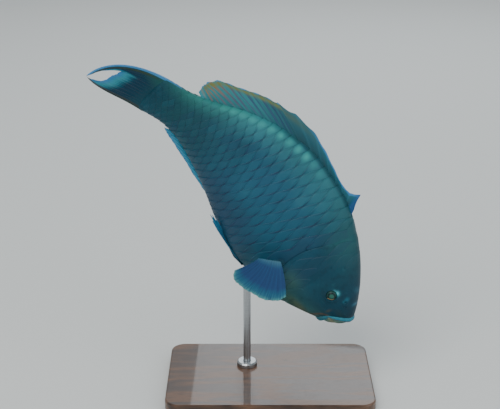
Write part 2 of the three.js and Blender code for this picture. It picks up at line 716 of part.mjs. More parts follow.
const sides = [['right', 1], ['left', -1]];
const fish = group(
  group(
    piece('head', headSolid(), HEAD_SKIN),
    piece('lip_upper', upperLip, LIP_SKIN),
    piece('lip_lower', lowerLip, LIP_SKIN),
    piece('beak_upper', upperBeak, BEAK_ENAMEL),
    piece('beak_lower', lowerBeak, BEAK_ENAMEL),
    ...sides.map(([name, side]) => piece(`eye_${name}`, eyeBall(side, 0), EYE_SURFACE)),
    ...sides.map(([name, side]) => piece(`gill_cover_${name}`, gillCover(side), HEAD_SKIN)),
  ),
  group(
    piece('trunk_front', trunkFront, SKIN),
    piece('trunk_rear', trunkRear, SKIN),
    piece('tail_stalk', tailStalk, SKIN),
  ),
  group(
    piece('dorsal_fin_spiny', offBody(dorsalSpiny), FIN_SKIN),
    piece('dorsal_fin_soft', offBody(dorsalSoft), FIN_SKIN),
    piece('anal_fin', offBody(analFin), FIN_SKIN),
    piece('tail_fin_upper', offBody(tailUpper), FIN_SKIN),
    piece('tail_fin_lower', offBody(tailLower), FIN_SKIN),
    ...sides.map(([name, side]) => piece(`pectoral_fin_${name}`, offBody(pectoral(side)), FIN_SKIN)),
    ...sides.map(([name, side]) => piece(`pelvic_fin_${name}`, offBody(pelvic(side)), FIN_SKIN)),
  ),
);

// Pose: the turns are applied from the last to the first
const turnAbout = (axis, degrees) => new THREE.Quaternion().setFromAxisAngle(axis, radians(degrees));
fish.quaternion.copy(turnAbout(at(1, 0, 0), LEAN_BACK))
  .multiply(turnAbout(at(0, 0, 1), HEAD_DOWN))
  .multiply(turnAbout(at(0, 1, 0), SWAY))
  .multiply(turnAbout(at(1, 0, 0), BANK));
fish.position.set(SNOUT_ASIDE, -SNOUT_FORWARD, SNOUT_HEIGHT);
fish.updateMatrixWorld(true);

// Stand: a base with rounded corners, a collar and one upright rod that ends against the belly

function baseGeometry() {
  const [a, b, r] = [BASE_LENGTH / 2 - BASE_EDGE, BASE_DEPTH / 2 - BASE_EDGE, BASE_CORNER];
  const shape = new THREE.Shape();
  shape.absarc(a - r, b - r, r, 0, Math.PI / 2);
  shape.absarc(r - a, b - r, r, Math.PI / 2, Math.PI);
  shape.absarc(r - a, r - b, r, Math.PI, 1.5 * Math.PI);
  shape.absarc(a - r, r - b, r, 1.5 * Math.PI, 2 * Math.PI);
  const geometry = new THREE.ExtrudeGeometry(shape, {
    depth: BASE_THICKNESS - 2 * BASE_EDGE, curveSegments: 6,
    bevelThickness: BASE_EDGE, bevelSize: BASE_EDGE, bevelSegments: 2,
  });
  return geometry.translate(0, 0, BASE_EDGE);
}

const bellyPoint = bent(at(sl(ROD_STATION), 0, -sl(bellyOf(ROD_STATION)))).applyMatrix4(fish.matrixWorld);
const ROD_FOOT = BASE_THICKNESS + GAP;
const bodyInPlace = solid(bendGeometry(bodyForm(GAP)).applyMatrix4(fish.matrixWorld));

function rodSolid() {
  const height = bellyPoint.z + ROD_OVERRUN - ROD_FOOT;
  const rod = new THREE.CylinderGeometry(ROD_RADIUS, ROD_RADIUS, height, ROD_SIDES);
  rod.rotateX(Math.PI / 2).translate(bellyPoint.x, bellyPoint.y, ROD_FOOT + height / 2);
  return solid(rod).subtract(bodyInPlace);
}

function collarGeometry() {
  const inner = ROD_RADIUS + GAP;
  const profile = [
    [inner, 0], [COLLAR_RADIUS, 0], [COLLAR_RADIUS, COLLAR_HEIGHT - COLLAR_EDGE],
    [COLLAR_RADIUS - COLLAR_EDGE, COLLAR_HEIGHT], [inner, COLLAR_HEIGHT], [inner, 0],
  ].map(([r, z]) => new THREE.Vector2(r, z));
  const ring = new THREE.LatheGeometry(profile, ROD_SIDES).rotateX(Math.PI / 2);
  return ring.translate(bellyPoint.x, bellyPoint.y, ROD_FOOT);
}

function standPiece(name, geometry, material) {
  const mesh = new THREE.Mesh(geometry, material);
  mesh.name = name;
  return mesh;
}

// The rod's lowest piece is kept: what the cut leaves above the body is dropped
const rodPieces = rodSolid().decompose();
const rodBelow = rodPieces.reduce((low, p) => (p.boundingBox().min[2] < low.boundingBox().min[2] ? p : low));
const stand = group(
  standPiece('stand_base', baseGeometry(), BASE_WOOD),
  standPiece('stand_rod', geometryOf(rodBelow), ROD_METAL),
  standPiece('stand_collar', collarGeometry(), ROD_METAL),
);

export default group(fish, stand);
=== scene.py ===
"""A life-size parrotfish, head down with its tail swung aside, on a plain display stand.

The fish is worked out straight, in its own frame in metres, where x runs from the snout to the tail, y to
its right side and z to its back. One curve of the spine then bends every piece, and one set of turns poses
it. A station is a place along the fish, as a share of the length from snout to tail root.
"""

import logging
import math
from collections.abc import Callable, Iterator, Sequence
from dataclasses import dataclass, field
from enum import Enum
from functools import partial

import bpy
import numpy as np
from mathutils import Matrix, Vector


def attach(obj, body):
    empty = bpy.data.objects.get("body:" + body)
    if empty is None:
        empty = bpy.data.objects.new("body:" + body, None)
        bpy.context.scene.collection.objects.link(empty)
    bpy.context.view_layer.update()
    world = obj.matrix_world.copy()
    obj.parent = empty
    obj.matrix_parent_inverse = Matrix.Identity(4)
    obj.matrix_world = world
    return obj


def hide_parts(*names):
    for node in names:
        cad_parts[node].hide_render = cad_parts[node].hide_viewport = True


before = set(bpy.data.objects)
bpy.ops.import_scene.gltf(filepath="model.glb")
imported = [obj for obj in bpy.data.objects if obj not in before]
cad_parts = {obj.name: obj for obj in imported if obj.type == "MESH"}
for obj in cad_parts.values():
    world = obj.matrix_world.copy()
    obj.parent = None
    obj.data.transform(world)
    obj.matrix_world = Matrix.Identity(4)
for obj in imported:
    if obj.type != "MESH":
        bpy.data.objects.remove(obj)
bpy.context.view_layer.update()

logging.basicConfig(level=logging.INFO, format="%(message)s")
log = logging.getLogger("parrotfish")

Array = np.ndarray
Colour = tuple[float, float, float]
Stops = tuple[tuple[float, str], ...]      # places from 0 to 1, each with its colour code
Surface = Callable[[Array, Array], Array]  # straight points from the place across the rays and along them
Material = bpy.types.Material
Object = bpy.types.Object
Pieces = Iterator[Object]
MM = 0.001
LENGTH = 0.330                             # snout to the root of the tail fin
ROOT_DEPTH = 5 * MM                        # how far a fin's rays start inside the body


class Side(Enum):
    """Side of the fish, with the sign of y there."""

    RIGHT = 1
    LEFT = -1


def smooth(value: Array | float) -> Array:
    """Smooth step 3t² − 2t³ of the value held between 0 and 1."""
    t = np.clip(value, 0.0, 1.0)
    return t * t * (3.0 - 2.0 * t)


def ramp(value: Array | float, low: float, high: float) -> Array:
    """Smooth step from 0 at low to 1 at high."""
    return smooth((np.asarray(value, dtype=float) - low) / (high - low))


def bump(value: Array | float, middle: float, width: float) -> Array:
    """Bell curve exp(−((value − middle) / width)²)."""
    return np.exp(-(((np.asarray(value, dtype=float) - middle) / width) ** 2))


def unit(vectors: Array) -> Array:
    """Vectors scaled to length 1."""
    return vectors / np.maximum(np.linalg.norm(vectors, axis=-1, keepdims=True), 1e-12)


def vector(x: Array | float, y: Array | float, z: Array | float) -> Array:
    """Stack of three coordinates along a new last axis."""
    return np.stack(np.broadcast_arrays(x, y, z), axis=-1).astype(float)


def full_turn(count: int) -> Array:
    """Angles of a full turn in even steps, as one row."""
    return np.linspace(0, 2 * math.pi, count, endpoint=False)[None, :]


def along(values: Sequence[float], t: Array) -> Array:
    """Value of an evenly spread list at t from 0 to 1, by straight lines between its entries."""
    return np.interp(np.clip(t, 0.0, 1.0), np.linspace(0.0, 1.0, len(values)), values)


class MonotoneCurve:
    """Smooth curve through rising stations that never overshoots them (monotone cubic)."""

    def __init__(self, xs: Sequence[float], ys: Sequence[float]) -> None:
        """Works out the tangent at each station as the weighted harmonic mean of the slopes beside it.

        Args:
            xs: Stations, rising.
            ys: Values there.
        """
        self.xs, self.ys = np.array(xs, dtype=float), np.array(ys, dtype=float)
        step = np.diff(self.xs)
        slope = np.diff(self.ys) / step
        left, right = slope[:-1], slope[1:]
        before, after = 2 * step[1:] + step[:-1], step[1:] + 2 * step[:-1]
        same = left * right > 0
        shares = before / np.where(left == 0, 1, left) + after / np.where(right == 0, 1, right)
        inner = np.where(same, (before + after) / np.where(same, shares, 1), 0.0)
        self.tangents = np.concatenate([slope[:1], inner, slope[-1:]])

    def __call__(self, x: Array | float) -> Array:
        """Value by the cubic between the two stations round it, held at the two ends.

        Args:
            x: Stations.

        Returns:
            Values there.
        """
        x = np.asarray(x, dtype=float)
        i = np.clip(np.searchsorted(self.xs, x, side="left") - 1, 0, len(self.xs) - 2)
        h = self.xs[i + 1] - self.xs[i]
        t = np.clip((x - self.xs[i]) / h, 0.0, 1.0)
        t2, t3 = t * t, t * t * t
        return (
            (2 * t3 - 3 * t2 + 1) * self.ys[i] + (t3 - 2 * t2 + t) * h * self.tangents[i]
            + (3 * t2 - 2 * t3) * self.ys[i + 1] + (t3 - t2) * h * self.tangents[i + 1]
        )


class SplineCurve:
    """Smooth curve through points in the side view, cubic between each two of them."""

    def __init__(self, points: Sequence[tuple[float, float]]) -> None:
        """Keeps the points, as fractions of the standard length."""
        self.points = np.array(points, dtype=float)

    def __call__(self, t: Array) -> Array:
        """Point by cubics whose slope at each point is half the step between its neighbours.

        Args:
            t: Place along the curve, from 0 to 1.

        Returns:
            Points as shares of the length.
        """
        last = len(self.points) - 1
        k = np.clip(np.asarray(t, dtype=float), 0.0, 1.0) * last
        i = np.minimum(np.floor(k).astype(int), last - 1)
        w = (k - i)[..., None]
        before = self.points[np.maximum(i - 1, 0)]
        start, end = self.points[i], self.points[i + 1]
        after = self.points[np.minimum(i + 2, last)]
        first, second = (end - before) / 2, (after - start) / 2
        return (
            (2 * start - 2 * end + first + second) * w ** 3
            + (-3 * start + 3 * end - 2 * first - second) * w ** 2 + first * w + start
        )


@dataclass(frozen=True)
class BodyForm:
    """Straight body: an outline along the fish and a section that is close to an ellipse."""

    outline: tuple[tuple[float, float, float, float], ...] = (  # station, back, belly, half width
        (-0.004, 0.037, -0.027, 0.008), (0.005, 0.048, 0.003, 0.023), (0.023, 0.066, 0.032, 0.037),
        (0.051, 0.0896, 0.0565, 0.050), (0.100, 0.1240, 0.0960, 0.063), (0.180, 0.1666, 0.1500, 0.078),
        (0.280, 0.2016, 0.1825, 0.087), (0.380, 0.2177, 0.2015, 0.089), (0.500, 0.2134, 0.1850, 0.083),
        (0.620, 0.1833, 0.1505, 0.069), (0.740, 0.1327, 0.1125, 0.051), (0.840, 0.0835, 0.0810, 0.035),
        (0.920, 0.0640, 0.0690, 0.023), (1.000, 0.0650, 0.0685, 0.010), (1.012, 0.0590, 0.0560, 0.004),
    )
    snout_rise: float = 0.032
    snout_rise_ends: float = 0.15
    fullness: float = 0.95

    @property
    def start(self) -> float:
        """Station of the tip of the snout."""
        return self.outline[0][0]

    @property
    def end(self) -> float:
        """Station where the flesh ends in the root of the tail fin."""
        return self.outline[-1][0]

    def column(self, index: int) -> MonotoneCurve:
        """Curve of one column of the outline over its stations."""
        return MonotoneCurve([row[0] for row in self.outline], [row[index] for row in self.outline])

    def back(self, station: Array) -> Array:
        """Height of the back over the spine line, as a fraction of the length."""
        return self.column(1)(station)

    def belly(self, station: Array) -> Array:
        """Depth of the belly under the spine line, as a fraction of the length."""
        return self.column(2)(station)

    def half_width(self, station: Array) -> Array:
        """Half the breadth, as a fraction of the length."""
        return self.column(3)(station)

    def axis(self, station: Array) -> Array:
        """Height of the section's middle, which rises to the tip of the snout."""
        return self.snout_rise * (1.0 - smooth((np.asarray(station) - self.start) / self.snout_rise_ends))

    def bare(self, station: Array, angle: Array) -> Array:
        """Point of the skin at a station and an angle round the section.

        The section is y = w·|cos|^0.95 and z = middle + h·sin, with h to the back above the middle and to
        the belly below it.

        Args:
            station: Place along the fish, as a fraction of its length.
            angle: 0 on the right side and a quarter turn on the back, in radians.

        Returns:
            Points in the straight fish, in metres.
        """
        across, up, axis = np.cos(angle), np.sin(angle), self.axis(station)
        height = np.where(up > 0, self.back(station) - axis, self.belly(station) + axis)
        width = self.half_width(station) * np.sign(across) * np.abs(across) ** self.fullness
        return LENGTH * vector(station, width, axis + height * up)

    def normal(self, station: Array, angle: Array, step: float = 0.003) -> Array:
        """Outward direction of the skin, the cross product of its two slopes over a small step."""
        before, after = np.maximum(station - step, self.start), np.minimum(station + step, self.end)
        lengthwise = self.bare(after, angle) - self.bare(before, angle)
        around = self.bare(station, angle + step) - self.bare(station, angle - step)
        return unit(np.cross(around, lengthwise))

    def skin(self, station: Array, angle: Array, outset: Array | float = 0.0) -> Array:
        """Point of the skin moved along its normal by a distance in metres."""
        outset = np.asarray(outset, dtype=float)
        return self.bare(station, angle) + self.normal(station, angle) * outset[..., None]

    def inside(self, points: Array) -> Array:
        """Measure |y / w|^(2 / 0.95) + (z / h)², which is below 1 inside the skin and above 1 outside.

        Args:
            points: Straight points in metres.

        Returns:
            The measure at each of them.
        """
        station = points[..., 0] / LENGTH
        axis = self.axis(station)
        rise = points[..., 2] / LENGTH - axis
        height = np.where(rise > 0, self.back(station) - axis, self.belly(station) + axis)
        across = np.abs(points[..., 1]) / (LENGTH * self.half_width(station))
        measure = across ** (2 / self.fullness) + (rise / height) ** 2
        return np.where((station < self.start) | (station > self.end), np.inf, measure)

    def skin_from(self, inner: Array, direction: Array, halvings: int = 34) -> Array:
        """First point of the skin met from inside, by halving the distance.

        Args:
            inner: Straight points inside the skin.
            direction: Directions from them, of length 1.
            halvings: Number of times the distance is halved.

        Returns:
            Points of the skin.
        """
        near = np.zeros(np.broadcast_shapes(inner.shape, direction.shape)[:-1])
        far = np.full_like(near, 0.5 * LENGTH)
        for _ in range(halvings):
            middle = (near + far) / 2
            within = self.inside(inner + direction * middle[..., None]) < 1
            near, far = np.where(within, middle, near), np.where(within, far, middle)
        return inner + direction * near[..., None]

    def flank(self, station: Array, height: Array, side: Side) -> Array:
        """Skin point of a side at a station and a height, both as fractions of the length."""
        inner = LENGTH * vector(station, 0.0, height)
        return self.skin_from(inner, vector(0.0, side.value, 0.0))

    def flank_normal(self, station: float, height: float, side: Side, step: float = 0.004) -> Array:
        """Outward direction of a side's skin there, over a small step."""
        lengthwise = self.flank(station + step, height, side) - self.flank(station - step, height, side)
        upward = self.flank(station, height + step, side) - self.flank(station, height - step, side)
        return unit(np.cross(upward, lengthwise)) * side.value


@dataclass(frozen=True)
class Pose:
    """Bend of the spine and turns that place the straight fish in the world."""

    swing: float = 44.6  # degrees the spine has turned sideways at the root of the tail fin
    drop: float = 14.0  # degrees it has turned downwards there
    swing_starts: float = 0.22
    swing_power: float = 1.6
    drop_starts: float = 0.31
    first: float = -0.03
    last: float = 1.35
    steps: int = 540
    bank: float = 68.4
    sway: float = -8.6
    head_down: float = 119.9
    lean_back: float = 70.0
    snout: tuple[float, float, float] = (0.076, -0.008, 0.076)

    def turns(self) -> Array:
        """Rotation from the straight fish's frame to the world."""
        order = ((self.lean_back, "X"), (self.head_down, "Z"), (self.sway, "Y"), (self.bank, "X"))
        turn = Matrix.Identity(3)
        for degrees, axis in order:
            turn = turn @ Matrix.Rotation(math.radians(degrees), 3, axis)
        return np.array(turn)

    def samples(self) -> tuple[Array, Array, Array]:
        """Stations, spine positions and spine frames.

        The swing grows as ((s − start) / (1 − start))^1.6 and the drop as a smooth step. The position is
        the sum of the mean direction of each stride.

        Returns:
            Stations (n), positions (n, 3) and frames (n, 3, 3) whose rows are along, across and up.
        """
        s = np.linspace(self.first, self.last, self.steps + 1)
        share = np.maximum(0.0, (s - self.swing_starts) / (1 - self.swing_starts))
        swing = math.radians(self.swing) * share ** self.swing_power
        drop = math.radians(self.drop) * smooth((s - self.drop_starts) / (1 - self.drop_starts))
        zero, one = np.zeros_like(s), np.ones_like(s)
        about_z = np.stack([
            vector(np.cos(swing), -np.sin(swing), zero), vector(np.sin(swing), np.cos(swing), zero),
            vector(zero, zero, one),
        ], axis=1)
        about_y = np.stack([
            vector(np.cos(drop), zero, np.sin(drop)), vector(zero, one, zero),
            vector(-np.sin(drop), zero, np.cos(drop)),
        ], axis=1)
        frames = np.swapaxes(about_y @ about_z, 1, 2)
        stride = LENGTH * (self.last - self.first) / self.steps
        means = (frames[1:, 0] + frames[:-1, 0]) / 2
        positions = np.concatenate([np.zeros((1, 3)), np.cumsum(means * stride, axis=0)])
        origin = np.array([np.interp(0.0, s, positions[:, k]) for k in range(3)])
        return s, positions - origin, frames

    def place(self, points: Array) -> Array:
        """Straight points carried along the bent spine and into the world.

        Args:
            points: Points of the straight fish, in metres.

        Returns:
            Points in the world.
        """
        s, positions, frames = self.samples()
        station = points[..., 0] / LENGTH
        spine, across, up = (
            np.stack([np.interp(station, s, table[:, k]) for k in range(3)], axis=-1)
            for table in (positions, frames[:, 1], frames[:, 2])
        )
        bent = spine + across * points[..., 1:2] + up * points[..., 2:3]
        return bent @ self.turns().T + np.array(self.snout)


BODY = BodyForm()
POSE = Pose()


@dataclass
class Sheet:
    """Grid of straight points, with values that its material reads, on the way to a mesh."""

    points: Array  # rows, columns, 3
    values: dict[str, Array] = field(default_factory=dict)
    round_rows: bool = False
    round_columns: bool = False

    def faces(self) -> Array:
        """Quads between neighbouring points, joined round where the grid closes on itself."""
        rows, columns = self.points.shape[:2]
        i = np.arange(rows if self.round_rows else rows - 1)[:, None]
        j = np.arange(columns if self.round_columns else columns - 1)[None, :]
        i2, j2 = (i + 1) % rows, (j + 1) % columns
        corners = [i * columns + j, i * columns + j2, i2 * columns + j2, i2 * columns + j]
        return np.stack([c.ravel() for c in corners], axis=1)


@dataclass
class MeshParts:
    """Vertices, faces and values of one mesh, gathered from sheets and caps."""

    points: Array
    faces: list[Array]
    values: dict[str, Array]
    uv: Array | None = None

    @staticmethod
    def tube(sheet: Sheet) -> "MeshParts":
        """Closed tube: a grid of rings, with a fan of triangles in the first and last ring.

        Args:
            sheet: Rows of rings and their values.

        Returns:
            The closed solid.
        """
        rows, columns = sheet.points.shape[:2]
        middles = sheet.points[[0, -1]].mean(axis=1)
        points = np.concatenate([sheet.points.reshape(-1, 3), middles])
        values = {}
        for name, value in sheet.values.items():
            ends = value[[0, -1]].mean(axis=1)
            values[name] = np.concatenate([value.reshape(-1, 3), ends])
        j = np.arange(columns)
        k = (j + 1) % columns
        last = (rows - 1) * columns
        first_fan = np.stack([np.full(columns, rows * columns), k, j], axis=1)
        last_fan = np.stack([np.full(columns, rows * columns + 1), last + j, last + k], axis=1)
        sheet.round_columns = True
        return MeshParts(points, [sheet.faces(), first_fan, last_fan], values)

    @staticmethod
    def slab(front: Array, back: Array, values: dict[str, Array]) -> "MeshParts":
        """Closed thin solid between two grids, joined by a rim round their border.

        Args:
            front: Grid of outer points.
            back: Grid of inner points.
            values: Values of the front's points, which the back's points share.

        Returns:
            The closed solid.
        """
        rows, columns = front.shape[:2]
        count = rows * columns
        index = np.arange(count).reshape(rows, columns)
        grid = Sheet(front).faces()
        loop = np.concatenate([index[0, :-1], index[:-1, -1], index[-1, :0:-1], index[:0:-1, 0]])
        following = np.roll(loop, -1)
        rim = np.stack([following, loop, loop + count, following + count], axis=1)
        points = np.concatenate([front.reshape(-1, 3), back.reshape(-1, 3)])
        doubled = {k: np.concatenate([v.reshape(-1, 3)] * 2) for k, v in values.items()}
        return MeshParts(points, [grid, grid[:, ::-1] + count, rim], doubled)

    def volume(self) -> float:
        """Enclosed volume, positive when the faces point outwards."""
        total = 0.0
        for faces in self.faces:
            corners = self.points[faces]
            for k in range(1, faces.shape[1] - 1):
                triple = np.einsum("ij,ij->i", corners[:, 0], np.cross(corners[:, k], corners[:, k + 1]))
                total += triple.sum()
        return total / 6


def make_object(name: str, parts: MeshParts, posed: bool = True) -> Object:
    """Mesh object with outward faces, at the world's origin.

    Args:
        name: Name of the object and its mesh.
        parts: Its vertices, faces and values, in the straight fish or in the world.
        posed: Whether the vertices are straight and still to be carried to their place.

    Returns:
        The new object, linked to the scene.
    """
    world = POSE.place(parts.points) if posed else parts.points
    turned = MeshParts(world, parts.faces, parts.values).volume() < 0
    faces = [f[:, ::-1] if turned else f for f in parts.faces]
    mesh = bpy.data.meshes.new(name)
    loops = np.concatenate([f.ravel() for f in faces])
    sizes = np.concatenate([np.full(len(f), f.shape[1]) for f in faces])
    mesh.vertices.add(len(world))
    mesh.vertices.foreach_set("co", world.astype(np.float32).ravel())
    mesh.loops.add(len(loops))
    mesh.loops.foreach_set("vertex_index", loops.astype(np.int32))
    mesh.polygons.add(len(sizes))
    mesh.polygons.foreach_set("loop_start", np.concatenate([[0], np.cumsum(sizes)[:-1]]).astype(np.int32))
    mesh.polygons.foreach_set("use_smooth", np.full(len(sizes), True))
    for key, value in parts.values.items():
        layer = mesh.attributes.new(key, "FLOAT_VECTOR", "POINT")
        layer.data.foreach_set("vector", value.astype(np.float32).ravel())
    if parts.uv is not None:
        layer = mesh.uv_layers.new(name="OFBake")
        layer.data.foreach_set("uv", parts.uv[loops].astype(np.float32).ravel())
    mesh.update(calc_edges=True)
    mesh.validate()
    result = bpy.data.objects.new(name, mesh)
    bpy.context.scene.collection.objects.link(result)
    return result


def dressed(piece: Object, material: Material, slot: str, *nodes: str) -> Object:
    """Dresses a piece, lets it ride on the part and hides the solids it stands for.

    Args:
        piece: The mesh object.
        material: Its finish.
        slot: Name of its material slot, which is not used.
        nodes: Names of the solids that it replaces.

    Returns:
        The same piece.
    """
    piece.data.materials.append(material)
    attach(piece, "root")
    if nodes:
        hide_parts(*nodes)
    return piece


def srgb(code: str) -> Colour:
    """Linear colour of a six-digit code of screen values: ((c + 0.055) / 1.055)^2.4 above 0.04045."""
    channels = [int(code[i:i + 2], 16) / 255 for i in (0, 2, 4)]
    return tuple(c / 12.92 if c <= 0.04045 else ((c + 0.055) / 1.055) ** 2.4 for c in channels)


class Value:
    """Number socket of a material, so that shader maths is written as an expression."""

    def __init__(self, paint: "Paint", socket: bpy.types.NodeSocket) -> None:
        """Keeps the socket and the material's node maker."""
        self.paint, self.socket = paint, socket

    def math(self, operation: str, *others: "Value | float", swap: bool = False) -> "Value":
        """Result of a Math node on this value and others, in reverse order with swap."""
        inputs = [self, *others][::-1] if swap else [self, *others]
        node = self.paint.node("ShaderNodeMath", {"operation": operation}, dict(enumerate(inputs)))
        return Value(self.paint, node.outputs[0])

    def __add__(self, other: "Value | float") -> "Value":
        """Sum."""
        return self.math("ADD", other)

    __radd__ = __add__

    def __mul__(self, other: "Value | float") -> "Value":
        """Product."""
        return self.math("MULTIPLY", other)

    __rmul__ = __mul__

    def __sub__(self, other: "Value | float") -> "Value":
        """Difference."""
        return self.math("SUBTRACT", other)

    def __rsub__(self, other: float) -> "Value":
        """Number less this value."""
        return self.math("SUBTRACT", other, swap=True)

    def __truediv__(self, other: "Value | float") -> "Value":
        """Quotient."""
        return self.math("DIVIDE", other)

    def __rtruediv__(self, other: float) -> "Value":
        """Number over this value."""
        return self.math("DIVIDE", other, swap=True)

    def __pow__(self, other: "Value | float") -> "Value":
        """Power."""
        return self.math("POWER", other)

    def __neg__(self) -> "Value":
        """This value with its sign turned."""
        return self.math("MULTIPLY", -1.0)

    def __abs__(self) -> "Value":
        """Size without the sign."""
        return self.math("ABSOLUTE")

    def smooth(self, low: float, high: float) -> "Value":
        """Smooth step.

        Args:
            low: Where it is 0.
            high: Where it is 1, which may be the smaller one.

        Returns:
            The step.
        """
        flip = high < low
        node = self.paint.node(
            "ShaderNodeMapRange", {"interpolation_type": "SMOOTHSTEP"},
            {"Value": self, "From Min": min(low, high), "From Max": max(low, high),
             "To Min": 1.0 if flip else 0.0, "To Max": 0.0 if flip else 1.0},
        )
        return Value(self.paint, node.outputs["Result"])

    def bell(self, middle: "Value | float", width: float) -> "Value":
        """Bell curve exp(−((value − middle) / width)²)."""
        scaled = (self - middle) / width
        return (-(scaled * scaled)).math("EXPONENT")

    def wave(self) -> "Value":
        """Cosine of whole turns, raised to between 0 and 1."""
        return (self * (2 * math.pi)).math("COSINE") * 0.5 + 0.5

    def least(self, other: "Value | float") -> "Value":
        """Smaller of two."""
        return self.math("MINIMUM", other)


class Tint:
    """Colour or vector socket of a material."""

    def __init__(self, paint: "Paint", socket: bpy.types.NodeSocket) -> None:
        """Keeps the socket and the material's node maker."""
        self.paint, self.socket = paint, socket

    def toward(self, other: "Tint | Colour", share: "Value | float") -> "Tint":
        """This colour mixed with another by a share."""
        return self.paint.mix(share, self, other)

    def under(self, *layers: tuple[str, "Value | float"]) -> "Tint":
        """This colour with others laid on it in turn, each as its code and its share."""
        tint = self
        for code, share in layers:
            tint = tint.toward(srgb(code), share)
        return tint

    def split(self) -> tuple[Value, Value, Value]:
        """Its three coordinates."""
        node = self.paint.node("ShaderNodeSeparateXYZ", {}, {"Vector": self})
        return tuple(Value(self.paint, node.outputs[k]) for k in range(3))

    def scaled(self, factors: tuple[float, float, float]) -> "Tint":
        """Vector with each coordinate multiplied by a number."""
        node = self.paint.node("ShaderNodeVectorMath", {"operation": "MULTIPLY"}, {0: self, 1: factors})
        return Tint(self.paint, node.outputs[0])


class Paint:
    """Material in the making, with one method that adds any node."""

    def __init__(self, name: str) -> None:
        """Starts an empty material with a surface shader and its output.

        Args:
            name: Name of the material.
        """
        self.material = bpy.data.materials.new(name)
        self.material.use_nodes = True
        self.tree = self.material.node_tree
        self.tree.nodes.clear()
        output = self.tree.nodes.new("ShaderNodeOutputMaterial")
        self.shader = self.tree.nodes.new("ShaderNodeBsdfPrincipled")
        self.tree.links.new(self.shader.outputs[0], output.inputs["Surface"])

    def put(self, socket: bpy.types.NodeSocket, value: object) -> None:
        """Links a socket to a value or colour, or sets it to a number or a tuple."""
        if isinstance(value, (Value, Tint)):
            self.tree.links.new(value.socket, socket)
        elif isinstance(value, tuple) and socket.type == "RGBA":
            socket.default_value = (*value, 1.0)
        else:
            socket.default_value = value

    def node(self, kind: str, settings: dict[str, object], inputs: dict[object, object]) -> bpy.types.Node:
        """Adds a node of a type, with its settings first and then the values or links of its sockets.

        Args:
            kind: Blender's name of the node type.
            settings: Its own settings by name, such as a Math node's operation.
            inputs: Values, colours or numbers by socket name or number.

        Returns:
            The new node.
        """
        node = self.tree.nodes.new(kind)
        for key, value in settings.items():
            if key == "stops":
                self.set_stops(node.color_ramp, value)
            else:
                setattr(node, key, value)
        for key, value in inputs.items():
            self.put(node.inputs[key], value)
        return node

    def set_stops(self, ramp_colours: bpy.types.ColorRamp, stops: Stops) -> None:
        """Fills a colour ramp with places and colour codes."""
        while len(ramp_colours.elements) < len(stops):
            ramp_colours.elements.new(1.0)
        for element, (place, code) in zip(ramp_colours.elements, stops):
            element.position, element.color = place, (*srgb(code), 1.0)

    def ramp(self, value: Value, stops: Stops) -> Tint:
        """Colour between stops, by a value from 0 to 1."""
        return Tint(self, self.node("ShaderNodeValToRGB", {"stops": stops}, {0: value}).outputs[0])

    def mix(self, share: "Value | float", first: "Tint | Colour", second: "Tint | Colour") -> Tint:
        """Colour between two, by a share from 0 to 1."""
        node = self.node("ShaderNodeMix", {"data_type": "RGBA"}, {0: share, 6: first, 7: second})
        return Tint(self, node.outputs[2])

    def attribute(self, name: str) -> Tint:
        """Vector that the mesh carries under a name."""
        node = self.node("ShaderNodeAttribute", {"attribute_name": name}, {})
        return Tint(self, node.outputs["Vector"])

    def object_place(self) -> Tint:
        """Place in the part's own frame, in metres."""
        return Tint(self, self.node("ShaderNodeTexCoord", {}, {}).outputs["Object"])

    def noise(self, place: Tint, scale: float, detail: float = 3.0) -> Value:
        """Cloudy noise between 0 and 1 at a place, with so many cells to the unit."""
        inputs = {"Vector": place, "Scale": scale, "Detail": detail}
        return Value(self, self.node("ShaderNodeTexNoise", {}, inputs).outputs[0])

    def cells(self, place: Tint, scale: float) -> Value:
        """Distance to the nearest of scattered points."""
        node = self.node("ShaderNodeTexVoronoi", {"feature": "F1"}, {"Vector": place, "Scale": scale})
        return Value(self, node.outputs["Distance"])

    def relief(self, height: Value, depth: float, strength: float = 1.0) -> Tint:
        """Normal of a bump whose height of 1 stands for a depth in metres."""
        node = self.node("ShaderNodeBump", {}, {"Height": height, "Distance": depth, "Strength": strength})
        return Tint(self, node.outputs[0])

    def done(self, colour: Tint, roughness: Value | float, normal: Tint | None = None, *,
             specular: float = 0.5, coat: float = 0.0, metallic: float = 0.0) -> Material:
        """Sets or links the shader's sockets.

        Args:
            colour: Base colour.
            roughness: Roughness, all over or from a pattern.
            normal: Normal of the relief.
            specular: Specular level, all over.
            coat: Weight of the clear coat.
            metallic: 1 for bare metal.

        Returns:
            The finished material.
        """
        settings = {"Base Color": colour, "Roughness": roughness, "Specular IOR Level": specular,
                    "Coat Weight": coat, "Metallic": metallic}
        for name, value in settings.items():
            self.put(self.shader.inputs[name], value)
        if normal:
            self.put(self.shader.inputs["Normal"], normal)
        return self.material


def bilinear(table: Array, row: Array, column: Array) -> Array:
    """Table value by straight lines between its entries.

    Args:
        table: Grid of values.
        row: Fractional rows.
        column: Fractional columns.

    Returns:
        Values there.
    """
    rows, columns = table.shape
    row, column = np.clip(row, 0, rows - 1.0001), np.clip(column, 0, columns - 1.0001)
    i, j = np.floor(row).astype(int), np.floor(column).astype(int)
    p, q = row - i, column - j
    top = table[i, j] * (1 - q) + table[i, j + 1] * q
    bottom = table[i + 1, j] * (1 - q) + table[i + 1, j + 1] * q
    return top * (1 - p) + bottom * p


